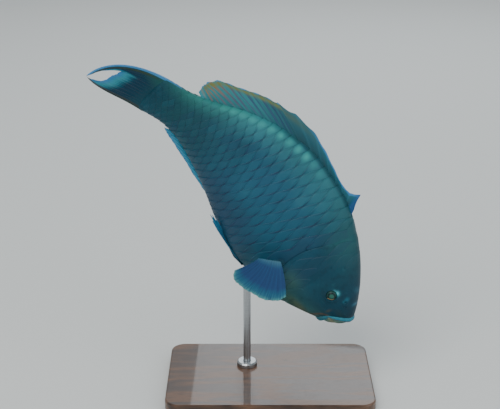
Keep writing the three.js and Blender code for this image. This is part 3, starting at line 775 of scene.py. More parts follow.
class Girth:
    """Arc length round the section, from 0 on the back to 1 on the belly, below 0 on the left side."""

    def __init__(self, stations: int = 260, steps: int = 241) -> None:
        """Measures the right half of each section as a running sum of chords and turns the table round.

        Args:
            stations: Sections measured between the body's ends.
            steps: Points on each.
        """
        self.stations, self.steps = stations, steps
        station = np.linspace(BODY.start, BODY.end, stations)
        self.angles = np.linspace(math.pi / 2, -math.pi / 2, steps)
        points = BODY.bare(station[:, None], self.angles[None, :])
        chords = np.linalg.norm(np.diff(points, axis=1), axis=2)
        self.arc = np.concatenate([np.zeros((stations, 1)), np.cumsum(chords, axis=1)], axis=1)
        self.arc /= chords.sum(axis=1)[:, None]
        even = np.linspace(0, 1, steps)
        self.angle_at = np.stack([np.interp(even, row, self.angles) for row in self.arc])

    def row(self, station: Array) -> Array:
        """Fractional row of the tables at a station."""
        return (np.asarray(station) - BODY.start) / (BODY.end - BODY.start) * (self.stations - 1)

    def angle(self, station: Array, girth: Array) -> Array:
        """Angle round the section at an arc share, which may run on over the back or the belly."""
        station, girth = np.broadcast_arrays(station, girth)
        girth = np.where(girth > 1, girth - 2, np.where(girth < -1, girth + 2, girth))
        angle = bilinear(self.angle_at, self.row(station), np.abs(girth) * (self.steps - 1))
        return np.where(girth >= 0, angle, math.pi - angle)

    def share(self, station: Array, angle: Array) -> Array:
        """Arc share, from 0 on the back to 1 on the belly, of an angle on either side."""
        station, angle = np.broadcast_arrays(station, angle)
        right = np.arctan2(np.sin(angle), np.abs(np.cos(angle)))
        column = (math.pi / 2 - right) / math.pi * (self.steps - 1)
        return bilinear(self.arc, self.row(station), column)


GIRTH = Girth()


def fish_values(points: Array, station: Array, angle: Array) -> dict[str, Array]:
    """Values that the markings read: where a point is on the skin, and in the side view.

    Args:
        points: Straight points in metres.
        station: Their stations.
        angle: Their angles round the section.

    Returns:
        "place" with station and arc share, and "straight" with the point as shares of the length.
    """
    return {
        "place": vector(station, GIRTH.share(station, angle), 0.0),
        "straight": points[..., [0, 2, 1]] / LENGTH,
    }


HEAD_EDGE = SplineCurve((
    (0.215, 0.30), (0.240, 0.20), (0.266, 0.125), (0.283, 0.060), (0.284, 0.010),
    (0.271, -0.045), (0.248, -0.095), (0.215, -0.145), (0.175, -0.195), (0.150, -0.30),
))
GILL_FRONT = SplineCurve((
    (0.236, 0.118), (0.206, 0.080), (0.194, 0.025), (0.186, -0.035), (0.172, -0.090), (0.160, -0.128),
))


def station_on(curve: SplineCurve, height: Array, samples: int = 120) -> Array:
    """Station of a falling curve in the side view at a height."""
    line = curve(np.linspace(0, 1, samples))[::-1]
    return np.interp(height, line[:, 1], line[:, 0])


def head_edge(angle: Array, first_guess: float = 0.25, rounds: int = 14) -> Array:
    """Station of the rear edge of the head at an angle round the section, by closing in on it."""
    station = np.full_like(np.asarray(angle, dtype=float), first_guess)
    for _ in range(rounds):
        height = BODY.bare(station, angle)[..., 2] / LENGTH
        station = (station + station_on(HEAD_EDGE, height)) / 2
    return station


@dataclass(frozen=True)
class EyePlace:
    """Where the eyes sit and how large they are."""

    station: float = 0.1140
    height: float = 0.0395
    radius: float = 5.8 * MM
    half_depth: float = 4.6 * MM
    sunk: float = 2.5 * MM

    def middle(self, side: Side) -> Array:
        """Skin point over the middle of an eye, in the straight fish."""
        return BODY.flank(np.array(self.station), np.array(self.height), side)

    def axes(self, side: Side) -> tuple[Array, Array, Array]:
        """Directions towards the back, towards the tail and out of an eye."""
        outward = BODY.flank_normal(self.station, self.height, side)
        up = unit(np.array([0.0, 0.0, 1.0]) - outward * outward[2])
        return up, unit(np.cross(outward, up)) * side.value, outward


@dataclass(frozen=True)
class MouthPlace:
    """Fan of planes through the corner of the mouth, each tilted so many degrees above straight ahead."""

    corner: tuple[float, float] = (17.5 * MM, -3.6 * MM)
    upper_lip: float = 47.0
    lower_lip: float = -94.0
    line: float = -6.0  # between the beak plates
    slit: float = 2.0  # half the opening between them
    wrap: float = 96.0  # degrees from the front to a lip's end

    def depth_inside(self, points: Array) -> Array:
        """Distance inside the fan from its nearer plane, below 0 outside, in metres."""
        ahead = self.corner[0] - points[..., 0]
        rise = points[..., 2] - self.corner[1]
        angle = np.arctan2(rise, ahead)
        nearer = np.minimum(math.radians(self.upper_lip) - angle, angle - math.radians(self.lower_lip))
        return np.hypot(ahead, rise) * np.sin(np.clip(nearer, -math.pi / 2, math.pi / 2))

    def ray(self, tilt: Array, turn: Array) -> Array:
        """Direction from the corner at a tilt above straight ahead and a turn towards the right side."""
        return vector(-np.cos(tilt) * np.cos(turn), np.sin(turn), np.sin(tilt) * np.cos(turn))

    def origin(self) -> Array:
        """Corner of the mouth in the middle plane."""
        return np.array([self.corner[0], 0.0, self.corner[1]])


@dataclass(frozen=True)
class Nostril:
    """One nostril: a pit with a low rim."""

    station: float
    height: float
    radius: float
    pit: float = 1.1  # this and the next four are shares of the radius
    pit_width: float = 0.85
    rim: float = 0.25
    rim_place: float = 1.7
    rim_width: float = 0.5

    def relief(self, points: Array, side: Side) -> Array:
        """Rise of the rim less the depth of the pit, both bells of the distance from the nostril's middle.

        Args:
            points: Straight points in metres.
            side: Side of the fish.

        Returns:
            Heights over the skin, in metres.
        """
        middle = BODY.flank(np.array(self.station), np.array(self.height), side)
        away = np.linalg.norm(points - middle, axis=-1) / self.radius
        rise = self.rim * bump(away, self.rim_place, self.rim_width)
        return self.radius * (rise - self.pit * bump(away, 0.0, self.pit_width))


EYE = EyePlace()
MOUTH = MouthPlace()
NOSTRILS = (Nostril(0.070, 0.062, 1.3 * MM), Nostril(0.055, 0.054, 0.9 * MM))


@dataclass
class Skin:
    """One skin over head, trunk and tail stalk, with the gill covers, sockets and mouth shaped in it."""

    head_rows: int = 150
    trunk_rows: int = 190
    columns: int = 240
    coat_depth: float = 0.6 * MM
    coat_ends: float = 0.975  # station from which the skin comes back up to the body form
    socket_depth: float = 4.2 * MM
    socket_edge: tuple[float, float] = (4.9 * MM, 6.6 * MM)  # from the eye's middle
    rim_rise: float = 0.55 * MM
    rim_radius: float = 7.4 * MM
    rim_width: float = 1.8 * MM
    gill_rise: float = 0.9 * MM
    gill_step: tuple[float, float] = (-3.5 * MM, 2.5 * MM)  # behind its front line
    gill_top: tuple[float, float] = (0.118, 0.088)  # heights where it fades
    gill_bottom: tuple[float, float] = (-0.168, -0.140)
    groove_depth: float = 0.35 * MM
    groove_place: float = -4.0 * MM
    groove_width: float = 1.6 * MM
    groove_top: tuple[float, float] = (0.118, 0.07)
    mouth_depth: float = 3.4 * MM
    mouth_edge: tuple[float, float] = (-0.4 * MM, 2.0 * MM)  # inside the fan of the mouth
    flap_ends: tuple[float, float] = (0.122, 0.098)  # heights where the free edge fades
    head_crowding: float = 1.2  # above 1 sets the rows closer at the snout
    flap: tuple[tuple[float, float], ...] = (  # along and out in mm, round the gill cover's free edge
        (-3.0, 0.75), (-1.6, 0.90), (-0.7, 0.88), (-0.15, 0.62), (0.0, 0.20), (-0.25, -0.20),
        (-0.8, -0.70), (-0.2, -1.05), (1.0, -0.95), (2.4, -0.70), (3.6, -0.60),
    )

    def head_relief(self, points: Array) -> Array:
        """How far the head's skin stands out or in.

        Gill covers rise in a smooth step behind their front line, with a groove before it. At each eye the
        skin sinks in a round socket inside a low rim, and it sinks between the lips.

        Args:
            points: Straight points in metres.

        Returns:
            Heights over the body form, in metres.
        """
        station, height = points[..., 0] / LENGTH, points[..., 2] / LENGTH
        behind = (station - station_on(GILL_FRONT, height)) * LENGTH
        plate = ramp(behind, *self.gill_step) * ramp(height, *self.gill_top)
        plate = plate * ramp(height, *self.gill_bottom)
        groove = bump(behind, self.groove_place, self.groove_width) * ramp(height, *self.groove_top)
        relief = self.gill_rise * plate - self.groove_depth * groove
        for side in Side:
            from_eye = np.linalg.norm(points - EYE.middle(side), axis=-1)
            relief = relief + self.rim_rise * bump(from_eye, self.rim_radius, self.rim_width)
            relief = relief - self.socket_depth * (1 - ramp(from_eye, *self.socket_edge))
            for nostril in NOSTRILS:
                relief = relief + nostril.relief(points, side)
        recess = ramp(MOUTH.depth_inside(points), *self.mouth_edge)
        return relief * (1 - recess) - self.mouth_depth * recess

    def grid(self) -> tuple[Array, Array, Array]:
        """Grid of the skin, from the snout to the tail.

        Rows of the head run to its edge, the next rows fold round the gill cover's free edge and back under
        it, and the rest run evenly to the tail.

        Returns:
            Station, angle and outset in metres of every point.
        """
        angle = full_turn(self.columns)
        edge = head_edge(angle)
        fold = np.array(self.flap)
        fold_start = edge + fold[0, 0] * MM / LENGTH
        share = (np.arange(self.head_rows) / self.head_rows)[:, None] ** self.head_crowding
        head = BODY.start + (fold_start - BODY.start) * share
        head_points = BODY.bare(head, np.broadcast_to(angle, head.shape))
        head_out = self.head_relief(head_points)

        edge_height = BODY.bare(edge, angle)[..., 2] / LENGTH
        free = ramp(edge_height, *self.flap_ends)
        even = np.linspace(fold[0, 0], fold[-1, 0], len(fold))[:, None]
        forward = free * fold[:, :1] + (1 - free) * even
        folded = edge + forward * MM / LENGTH
        level = np.linspace(0, -self.coat_depth / MM, len(fold))[:, None]
        fold_out = (free * fold[:, 1:] + (1 - free) * level) * MM

        start = edge + fold[-1, 0] * MM / LENGTH
        share = (np.arange(1, self.trunk_rows + 1) / self.trunk_rows)[:, None]
        trunk = start + (BODY.end - start) * share
        trunk_out = -self.coat_depth * (1 - ramp(trunk, self.coat_ends, 1.0))
        station = np.concatenate([head, folded, trunk])
        outset = np.concatenate([head_out, fold_out, trunk_out])
        return station, np.broadcast_to(angle, station.shape), outset

    def build(self) -> Object:
        """Closed mesh of the whole skin."""
        station, angle, outset = self.grid()
        points = BODY.skin(station, angle, outset)
        sheet = Sheet(points, fish_values(points, station, angle))
        return make_object("skin", MeshParts.tube(sheet))


@dataclass
class ScaleCoat:
    """Overlapping scales of one side, in columns of which every second one is set off by half a row."""

    side: Side
    even_rows: tuple[float, ...] = (0.0, 0.186, 0.398, 0.610, 0.822, 1.0)  # arc shares of the roots
    odd_rows: tuple[float, ...] = (0.080, 0.292, 0.504, 0.716, 0.928)
    first_station: float = 0.115
    last_station: float = 1.0
    front_pitch: float = 6.4 * MM
    rear_pitch: float = 3.8 * MM
    pitch_shrinks_from: float = 0.185
    overlap: float = 3.2  # length of a scale in pitches
    half_breadth: float = 0.123  # as an arc share
    rounding: float = 0.30
    root_depth: float = 1.0 * MM
    tip_rise: float = 0.20 * MM
    crown: float = 0.14 * MM
    unevenness: float = 0.08 * MM
    head_rise: float = 0.10 * MM  # of the plates over the head's relief
    head_flatness: float = 0.70  # shares by which they lie flatter on the head and at the tail
    tail_flatness: float = 0.5
    thickness: float = 0.22 * MM
    patch: float = 0.003  # of the unwrap
    face_ends: float = 0.125  # station behind which the cheek has plates
    eye_margin: float = 0.035  # how much farther back they start beside the eye
    cheek_bottom: float = -0.10
    bare_crown: float = 0.035  # arc shares that stay bare on the head and along the middle lines
    middle_line: float = 0.01
    edge_gaps: tuple[float, float] = (0.004, 0.008)  # before and behind the gill cover's free edge
    dorsal_starts: float = 0.30
    anal_starts: float = 0.60
    rows: int = 12  # grid of one scale
    across: int = 13
    seed: int = 7

    def columns(self) -> Array:
        """Stations of the roots, at a pitch that shrinks towards the tail."""
        stations = [self.first_station]
        while stations[-1] < self.last_station:
            beyond = stations[-1] - self.pitch_shrinks_from
            share = max(0.0, beyond / (self.last_station - self.pitch_shrinks_from))
            pitch = self.front_pitch + (self.rear_pitch - self.front_pitch) * share
            stations.append(stations[-1] + pitch / LENGTH)
        return np.array(stations[:-1])

    def keeps(self, station: Array, share: Array, length: Array) -> Array:
        """Whether scales stay: none under a fin's base, on the face or across the gill cover's edge.

        Args:
            station: Stations of the roots.
            share: Their arc shares.
            length: Lengths of the scales, as shares of the fish's length.

        Returns:
            True for each scale that stays.
        """
        middle, rear = station + length * 0.6, station + length
        angle = GIRTH.angle(middle, share)
        edge = head_edge(angle)
        height = BODY.bare(middle, angle)[..., 2] / LENGTH
        beside_eye = ramp(np.abs(height - 0.04), 0.10, 0.03)
        cheek = (station > self.face_ends + self.eye_margin * beside_eye) & (height > self.cheek_bottom)
        head = (rear < edge - self.edge_gaps[0]) & cheek & (share > self.bare_crown)
        trunk = middle > edge + self.edge_gaps[1]
        on_back, on_belly = share < self.middle_line, share > 1 - self.middle_line
        fin_base = (on_back & (middle > self.dorsal_starts)) | (on_belly & (middle > self.anal_starts))
        shared = (on_back | on_belly) & (self.side is Side.LEFT)
        return (head | trunk) & ~fin_base & ~shared

    def roots(self) -> tuple[Array, Array, Array]:
        """Root station, arc share and length of every scale of this side."""
        stations = self.columns()
        lengths = np.append(np.diff(stations), np.diff(stations)[-1]) * self.overlap
        found = []
        for k, (station, length) in enumerate(zip(stations, lengths)):
            found += [(station, share, length) for share in (self.odd_rows if k % 2 else self.even_rows)]
        station, share, length = np.array(found).T
        keep = self.keeps(station, share, length)
        return station[keep], share[keep], length[keep]

    def build(self) -> Object:
        """One mesh of all scales.

        Each scale is a grid of a from root to rear edge and b from its upper to its lower corner. The rear
        edge draws in as 0.3·|b|^1.35, the plate rises from under its neighbours as a^0.8, and falls to its
        corners as b^4. On the head the plates are lower and lie on the head's own relief.

        Returns:
            The coat's mesh object.
        """
        station, share, length = (v[:, None, None] for v in self.roots())
        draw = np.random.default_rng(self.seed + self.side.value).random((3, len(station), 1, 1))
        a = np.linspace(0.0, 1.0, self.rows)[None, :, None]
        b = np.linspace(-1.0, 1.0, self.across)[None, None, :]
        reach = a * (1 - self.rounding * np.abs(b) ** 1.35) * (0.98 + 0.03 * draw[0])
        s = np.minimum(station + reach * length, BODY.end - 0.002)
        girth = (share + b * self.half_breadth * (0.98 + 0.04 * draw[1])) * self.side.value
        angle = GIRTH.angle(s, girth)
        rise = -self.root_depth + (self.root_depth + self.tip_rise) * reach ** 0.8
        rise = rise - self.crown * b ** 4 + (draw[2] - 0.5) * self.unevenness
        middle = self.across // 2
        on_head = (station + length < head_edge(angle[:, -1:, middle:middle + 1])).astype(float)
        relief = Skin().head_relief(BODY.bare(s, angle)) + self.head_rise
        rise = rise * (1 - self.head_flatness * on_head) * (1 - self.tail_flatness * ramp(s, 0.85, 1.0))
        rise = rise + relief * on_head
        front = BODY.skin(s, angle, rise)
        back = BODY.skin(s, angle, rise - self.thickness)
        return self.join(front, back, s, angle, vector(reach, b, draw[2]), station, share)

    def join(self, front: Array, back: Array, s: Array, angle: Array, scale: Array,
             station: Array, share: Array) -> Object:
        """Gathers the plates into one mesh, each with a small patch of its own on the unwrap of the skin.

        Args:
            front: Outer points, by scale, row and column.
            back: Inner points.
            s: Stations of the points.
            angle: Their angles round the section.
            scale: Place along and across the plate, and its random number.
            station: Root station of each scale.
            share: Root arc share of each scale.

        Returns:
            The coat's mesh object.
        """
        count, rows, columns = front.shape[:3]
        values = fish_values(front, s, angle)
        values["scale"] = scale
        one = MeshParts.slab(front[0], back[0], {k: v[0] for k, v in values.items()})
        size = len(one.points)
        shift = (np.arange(count) * size)[:, None, None]
        faces = [(f[None] + shift).reshape(-1, 4) for f in one.faces]
        both = [front.reshape(count, -1, 3), back.reshape(count, -1, 3)]
        points = np.concatenate(both, axis=1).reshape(-1, 3)
        flat = {k: v.reshape(count, -1, 3) for k, v in values.items()}
        doubled = {k: np.concatenate([v, v], axis=1).reshape(-1, 3) for k, v in flat.items()}
        root = np.concatenate([
            0.02 + 0.96 * (station - BODY.start) / (BODY.end - BODY.start),
            0.5 + 0.48 * share * self.side.value,
        ], axis=2)
        patch = self.patch * (scale[..., :2] * np.array([1.0, 0.5]) - np.array([0.5, 0.0]))
        uv = (root[:, :, None] + patch.reshape(count, rows, columns, 2)).reshape(count, -1, 2)
        uv = np.concatenate([uv, uv], axis=1).reshape(-1, 2)
        return make_object(f"scales_{self.side.name.lower()}", MeshParts(points, faces, doubled, uv))


@dataclass
class Orbit:
    """Ring of skin round one eye, which closes the gap between the socket and the ball."""

    side: Side
    inner: float = 4.95 * MM
    outer: float = 9.2 * MM
    rise: float = 0.8 * MM
    rim_radius: float = 6.9 * MM
    rim_width: float = 1.4 * MM
    drop: float = 2.6 * MM
    drop_edge: tuple[float, float] = (4.9 * MM, 6.0 * MM)
    sink: float = 0.25 * MM
    sink_starts: float = 8.0 * MM
    thickness: float = 0.8 * MM
    crowding: float = 1.3  # above 1 sets the rings closer at the ball
    rings: int = 22
    around: int = 96

    def build(self) -> Object:
        """Closed ring whose height over the skin climbs from inside the socket to a rim and sinks again.

        The height is a bell of the distance from the eye's middle, less a smooth step on either side.

        Returns:
            The ring's mesh object.
        """
        share = np.linspace(0, 1, self.rings)[:, None]
        turn = full_turn(self.around)
        radius = self.inner + (self.outer - self.inner) * share ** self.crowding
        up, tail, outward = EYE.axes(self.side)
        flat = (
            EYE.middle(self.side) + radius[..., None] * (
                np.cos(turn)[..., None] * up + np.sin(turn)[..., None] * tail)
        )
        station, height = flat[..., 0] / LENGTH, flat[..., 2] / LENGTH
        base = BODY.flank(station, height, self.side)
        climb = self.rise * bump(radius, self.rim_radius, self.rim_width)
        climb = climb - self.drop * (1 - ramp(radius, *self.drop_edge))
        climb = climb - self.sink * ramp(radius, self.sink_starts, self.outer)
        front = base + outward * climb[..., None]
        back = base + outward * (climb - self.thickness)[..., None]
        ring = np.concatenate([front, back[::-1]])
        station = ring[..., 0] / LENGTH
        angle = np.arctan2(ring[..., 2] - LENGTH * BODY.axis(station), ring[..., 1])
        faces = Sheet(ring, round_rows=True, round_columns=True).faces()
        values = {k: v.reshape(-1, 3) for k, v in fish_values(ring, station, angle).items()}
        name = f"orbit_{self.side.name.lower()}"
        return make_object(name, MeshParts(ring.reshape(-1, 3), [faces], values))


@dataclass
class Eyeball:
    """One eye: a flattened ball, with the clear front bulging over the iris."""

    side: Side
    rings: int = 40
    around: int = 72
    bulge: float = 0.7 * MM
    bulge_width: float = 3.6 * MM
    pole_gap: float = 0.02  # radians between a pole and its first ring

    def build(self) -> Object:
        """Ball of rings from the front pole to the back one: an ellipsoid with a bell on its front.

        Returns:
            The ball's mesh object, which carries the place on it seen from the front.
        """
        polar = np.linspace(self.pole_gap, math.pi - self.pole_gap, self.rings)[:, None]
        turn = full_turn(self.around)
        up, tail, outward = EYE.axes(self.side)
        middle = EYE.middle(self.side) - outward * EYE.sunk
        flat = EYE.radius * np.sin(polar) * np.ones_like(turn)
        clear = self.bulge * bump(flat, 0.0, self.bulge_width) * (np.cos(polar) > 0)
        depth = EYE.half_depth * np.cos(polar) + clear
        points = (
            middle + flat[..., None] * (np.cos(turn)[..., None] * up + np.sin(turn)[..., None] * tail)
            + depth[..., None] * outward
        )
        share = flat / EYE.radius
        values = {"eye": vector(share * np.cos(turn), share * np.sin(turn), np.cos(polar))}
        return make_object(f"eye_{self.side.name.lower()}_ball", MeshParts.tube(Sheet(points, values)))


@dataclass
class Lip:
    """Fleshy lip laid on the skin from one corner of the mouth round the front to the other."""

    name: str
    tilt: float  # degrees of its plane above straight ahead
    half_height: float
    half_depth: float = 2.2 * MM
    sunk: float = 1.1 * MM
    corner_share: float = 0.40
    end_starts: float = 0.93  # place along half the lip where its round end starts
    end_length: float = 0.072
    long_fold: float = 0.16 * MM
    cross_fold: float = 0.10 * MM
    steps: int = 141
    sides: int = 32

    def build(self) -> Object:
        """Tube round a path on the skin, its section a rounded roll that thins towards the corners.

        The section is an ellipse with folds as sines round it and along it. Its size falls off as a cube
        of the place along half the lip and ends round.

        Returns:
            The lip's mesh object.
        """
        turn = np.radians(np.linspace(-MOUTH.wrap, MOUTH.wrap, self.steps))
        tilt = math.radians(self.tilt)
        path = BODY.skin_from(MOUTH.origin(), MOUTH.ray(np.array(tilt), turn))
        lengthwise = unit(np.gradient(path, axis=0))
        aside = np.array([-math.sin(tilt), 0.0, -math.cos(tilt)])
        outward = unit(np.cross(lengthwise, aside))
        u = np.abs(np.linspace(-1, 1, self.steps))
        end = np.sqrt(1 - np.clip((u - self.end_starts) / self.end_length, 0, 1) ** 2)
        share = (1 - (1 - self.corner_share) * u ** 3) * end
        section = full_turn(self.sides)
        folds = self.long_fold * np.sin(section * 4 + 0.6)
        folds = folds + self.cross_fold * np.sin(u[:, None] * 46.0) * np.cos(section)
        depth = (self.half_depth * share)[:, None] * np.cos(section) + folds * share[:, None]
        height = (self.half_height * share)[:, None] * np.sin(section)
        points = (
            path[:, None] + outward[:, None] * (depth - self.sunk)[..., None] + aside * height[..., None]
        )
        values = {"lip": vector(np.linspace(-1, 1, self.steps)[:, None], np.sin(section), np.cos(section))}
        return make_object(self.name, MeshParts.tube(Sheet(points, values)))


@dataclass
class Beak:
    """Plate of fused teeth between a lip and the line where the two plates meet."""

    name: str
    root_tilt: float
    edge_sign: int  # 1 where the cutting edge faces down, −1 where it faces up
    wrap: float = 87.0
    steps: int = 181
    rows: int = 30
    teeth: int = 21
    sunk: float = 1.5 * MM
    bulge: float = 1.9 * MM
    thickness: float = 2.6 * MM
    tooth_notch: float = 0.022
    seam_rise: float = 0.16 * MM
    tooth_rise: float = 0.10 * MM
    bow: tuple[float, float] = (0.12, 0.62)  # parts of the half sine before the root and up to the edge

    def build(self) -> Object:
        """Closed plate: a fan of planes from the corner of the mouth, met with the body and sunk in it.

        The plate bows out between root and edge as a half sine, rows of small teeth are raised in it as a
        product of two cosines, and its edge is notched between teeth.

        Returns:
            The plate's mesh object.
        """
        turn = np.radians(np.linspace(-self.wrap, self.wrap, self.steps))[None, :]
        w = np.linspace(0, 1, self.rows)[:, None]
        notch = self.tooth_notch * np.abs(np.sin(turn * self.teeth / 2)) ** 3
        root = math.radians(self.root_tilt)
        edge = math.radians(MOUTH.line + self.edge_sign * MOUTH.slit)
        tilt = root + (edge + self.edge_sign * notch * 2 - root) * w
        ray = MOUTH.ray(tilt, turn)
        skin = BODY.skin_from(MOUTH.origin(), ray)
        seam = self.seam_rise * np.abs(np.cos(turn * self.teeth / 2)) ** 0.5
        teeth = self.tooth_rise * np.cos(w * 44.0) * np.cos(turn * self.teeth) * ramp(w, 0.1, 0.4)
        out = -self.sunk + self.bulge * np.sin(math.pi * (self.bow[0] + self.bow[1] * w)) + seam + teeth
        front = skin + ray * out[..., None]
        back = skin + ray * (out - self.thickness)[..., None]
        values = {"beak": vector(turn / math.radians(self.wrap) + 0 * w, w + 0 * turn, 0.0)}
        return make_object(self.name, MeshParts.slab(front, back, values))


@dataclass
class RayFin:
    """Thin closed fin whose rays are raised in its own surface and fork towards the margin."""

    name: str
    rays: int
    surface: Surface
    rows: int = 56
    per_ray: int = 14
    membrane: float = 0.30 * MM
    membrane_taper: float = 0.35  # share of it lost on the way to the margin
    ray_rise: float = 0.42 * MM
    ray_taper: float = 0.7
    ray_width: float = 0.13  # as a share of the space between two rays
    forks: bool = True
    fork_spread: float = 0.20
    fork_narrows: float = 0.45
    notch: float = 0.025
    notch_power: float = 1.5
    swell: float = 0.5 * MM
    swell_ends: float = 0.35
    ripple: float = 0.5 * MM
    ripple_rays: float = 3.1  # rays to one wave
    rays_start: float = 0.02  # share of the height where they rise out of the root

    def ridge(self, place: Array, v: Array) -> Array:
        """Height of the rays: a bell across each ray, which parts into two past a third of its length.

        Args:
            place: Place across the rays, where whole numbers are their middles.
            v: Place along them, from 0 at the root to 1 at the margin.

        Returns:
            Heights from 0 to 1.
        """
        offset = place - np.round(place)
        if not self.forks:
            return bump(offset, 0.0, self.ray_width)
        spread = self.fork_spread * ramp(v, 0.38, 0.95)
        narrow = self.ray_width * (1 - self.fork_narrows * ramp(v, 0.3, 0.9))
        return np.maximum(bump(offset, spread, narrow), bump(offset, -spread, narrow))

    def build(self) -> Object:
        """Slab on both sides of the middle surface, with t across the rays and v out to the margin.

        The margin is drawn in between rays by a power of a half sine, and the surface ripples as a sine
        across the rays. Half the thickness is the membrane, which thins outwards, plus the rays and a
        swelling at the root.

        Returns:
            The fin's mesh object.
        """
        t = np.linspace(0, 1, (self.rays - 1) * self.per_ray + 1)[:, None]
        v = np.linspace(0, 1, self.rows)[None, :]
        place = t * (self.rays - 1)
        between = np.abs(np.sin(math.pi * place))
        drawn = v * (1 - self.notch * between ** self.notch_power)
        middle = self.surface(np.broadcast_to(t, drawn.shape), drawn)
        normal = unit(np.cross(np.gradient(middle, axis=0), np.gradient(middle, axis=1)))
        wave = np.sin(2 * math.pi * (place / self.ripple_rays + 0.6 * v))
        middle = middle + normal * (self.ripple * wave * v ** 1.5)[..., None]
        ray = self.ridge(place, v) * ramp(v, 0.0, self.rays_start)
        half = self.membrane * (1 - self.membrane_taper * v)
        half = half + self.ray_rise * (1 - self.ray_taper * v) * ray
        half = half + self.swell * (1 - smooth(v / self.swell_ends))
        out = normal * half[..., None]
        values = {"fin": vector(place, drawn, ray)}
        return make_object(self.name, MeshParts.slab(middle + out, middle - out, values))


@dataclass(frozen=True)
class MedianShape:
    """Middle surface of a fin on the back or the belly, whose rays lean towards the tail."""

    roots: tuple[float, ...]  # stations of the rays' roots, or of the first and last one
    lengths: tuple[float, ...]  # lengths of the rays in mm, spread evenly
    leans: tuple[float, ...]  # degrees between the rays and the body's edge
    direction: int  # 1 on the back and −1 on the belly
    slope_step: float = 0.01

    def edge(self, station: Array) -> Array:
        """Height of the body's edge, away from the spine line, as a share of the length."""
        return BODY.back(station) if self.direction > 0 else BODY.belly(station)

    def surface(self, t: Array, v: Array) -> Array:
        """Root on the body's edge plus a straight ray at its lean, which starts a little inside the body.

        Args:
            t: Place across the rays, from 0 to 1.
            v: Place along them, from 0 at the root to 1 at the margin.

        Returns:
            Straight points in metres.
        """
        station, lean = along(self.roots, t), np.radians(along(self.leans, t))
        climb = self.edge(station + self.slope_step) - self.edge(station - self.slope_step)
        turn = np.arctan(self.direction * climb / (2 * self.slope_step))
        root = LENGTH * vector(station, 0.0, self.direction * self.edge(station))
        ray = vector(np.cos(self.direction * lean + turn), 0.0, np.sin(self.direction * lean + turn))
        start = -ROOT_DEPTH / np.sin(lean)
        reach = start + (along(self.lengths, t) * MM - start) * v
        return root + ray * reach[..., None]


@dataclass(frozen=True)
class TailShape:
    """Middle surface of the tail fin, with closed lobes round a crescent margin."""

    tips: SplineCurve = SplineCurve((
        (1.272, -0.013), (1.245, 0.000), (1.212, 0.017), (1.156, 0.031), (1.163, 0.017), (1.170, 0.004),
        (1.180, -0.012), (1.200, -0.027), (1.238, -0.0235), (1.264, -0.0185),
    ))
    root_top: float = 0.0630
    root_bottom: float = -0.0680
    root_station: float = 0.985
    lobe: float = 0.3  # share of the rays in each lobe
    upper_lift: float = 0.004
    upper_arch: tuple[float, float] = (-0.006, 0.064)
    lower_sag: float = 0.030

    def surface(self, t: Array, v: Array) -> Array:
        """Ray from root to tip as a cubic with two inner points, arched in the upper and lower lobe.

        Args:
            t: Place across the rays, from 0 at the upper edge to 1 at the lower one.
            v: Place along them, from 0 at the root to 1 at the margin.

        Returns:
            Straight points in metres.
        """
        end, zero = self.tips(t), np.zeros_like(t)
        root_height = self.root_top + (self.root_bottom - self.root_top) * t
        root = LENGTH * vector(self.root_station + zero, 0.0, root_height)
        tip = LENGTH * vector(end[..., 0], 0.0, end[..., 1])
        upper, lower = np.maximum(0, 1 - t / self.lobe), np.maximum(0, (t - (1 - self.lobe)) / self.lobe)
        reach, fall = tip[..., 0] - root[..., 0], tip[..., 2] - root[..., 2]
        first = root + vector(reach / 3, 0.0, fall / 6 * (1 - upper) + LENGTH * self.upper_lift * upper)
        straight = root + (tip - root) * (2 / 3)
        arched = tip + LENGTH * vector(self.upper_arch[0] + zero, 0.0, self.upper_arch[1])
        second = straight + (arched - straight) * upper[..., None]
        second = second - LENGTH * vector(0.0, 0.0, self.lower_sag * lower)
        w = v[..., None]
        outer = 3 * (1 - w) * w ** 2 * second + w ** 3 * tip
        return (1 - w) ** 3 * root + 3 * (1 - w) ** 2 * w * first + outer


@dataclass(frozen=True)
class FanShape:
    """Middle surface of a paired fin: a fan of rays from a slanting root on the flank."""

    root_from: tuple[float, float]  # station and height of the first ray's root
    root_to: tuple[float, float]
    first_ray: tuple[float, float, float]  # directions on the right side
    last_ray: tuple[float, float, float]
    lengths: tuple[float, ...]  # lengths of the rays in mm, spread evenly
    bow: tuple[float, float, float]  # bend of the rays at their middle in mm

    def surface(self, side: Side, t: Array, v: Array) -> Array:
        """Root on the flank plus a ray turned evenly from the first direction to the last, and bowed.

        Args:
            side: Side of the fish, of which the left one is mirrored.
            t: Place across the rays, from 0 to 1.
            v: Place along them, from 0 at the root to 1 at the margin.

        Returns:
            Straight points in metres.
        """
        first, last = unit(np.array(self.first_ray)), unit(np.array(self.last_ray))
        fan = math.acos(float(np.clip(first @ last, -1, 1)))
        mirror = np.array([1.0, side.value, 1.0])
        station = self.root_from[0] + (self.root_to[0] - self.root_from[0]) * t
        height = self.root_from[1] + (self.root_to[1] - self.root_from[1]) * t
        root = BODY.flank(station[:, :1], height[:, :1], side)
        share = t[..., None]
        ray = (first * np.sin((1 - share) * fan) + last * np.sin(share * fan)) / math.sin(fan) * mirror
        reach = -ROOT_DEPTH + (along(self.lengths, t) * MM + ROOT_DEPTH) * v
        bow = np.array(self.bow) * mirror * MM * (4 * v * (1 - v))[..., None]
        return root + ray * reach[..., None] + bow


@dataclass(frozen=True)
class Mark:
    """Soft oval mark in the side view, as shares of the length."""

    station: float
    height: float
    long: float
    tall: float
    code: str
    share: float

    def layer(self, s: Value, z: Value) -> tuple[str, Value]:
        """Its colour code, and its share as a bell along times a bell across."""
        return self.code, s.bell(self.station, self.long) * z.bell(self.height, self.tall) * self.share


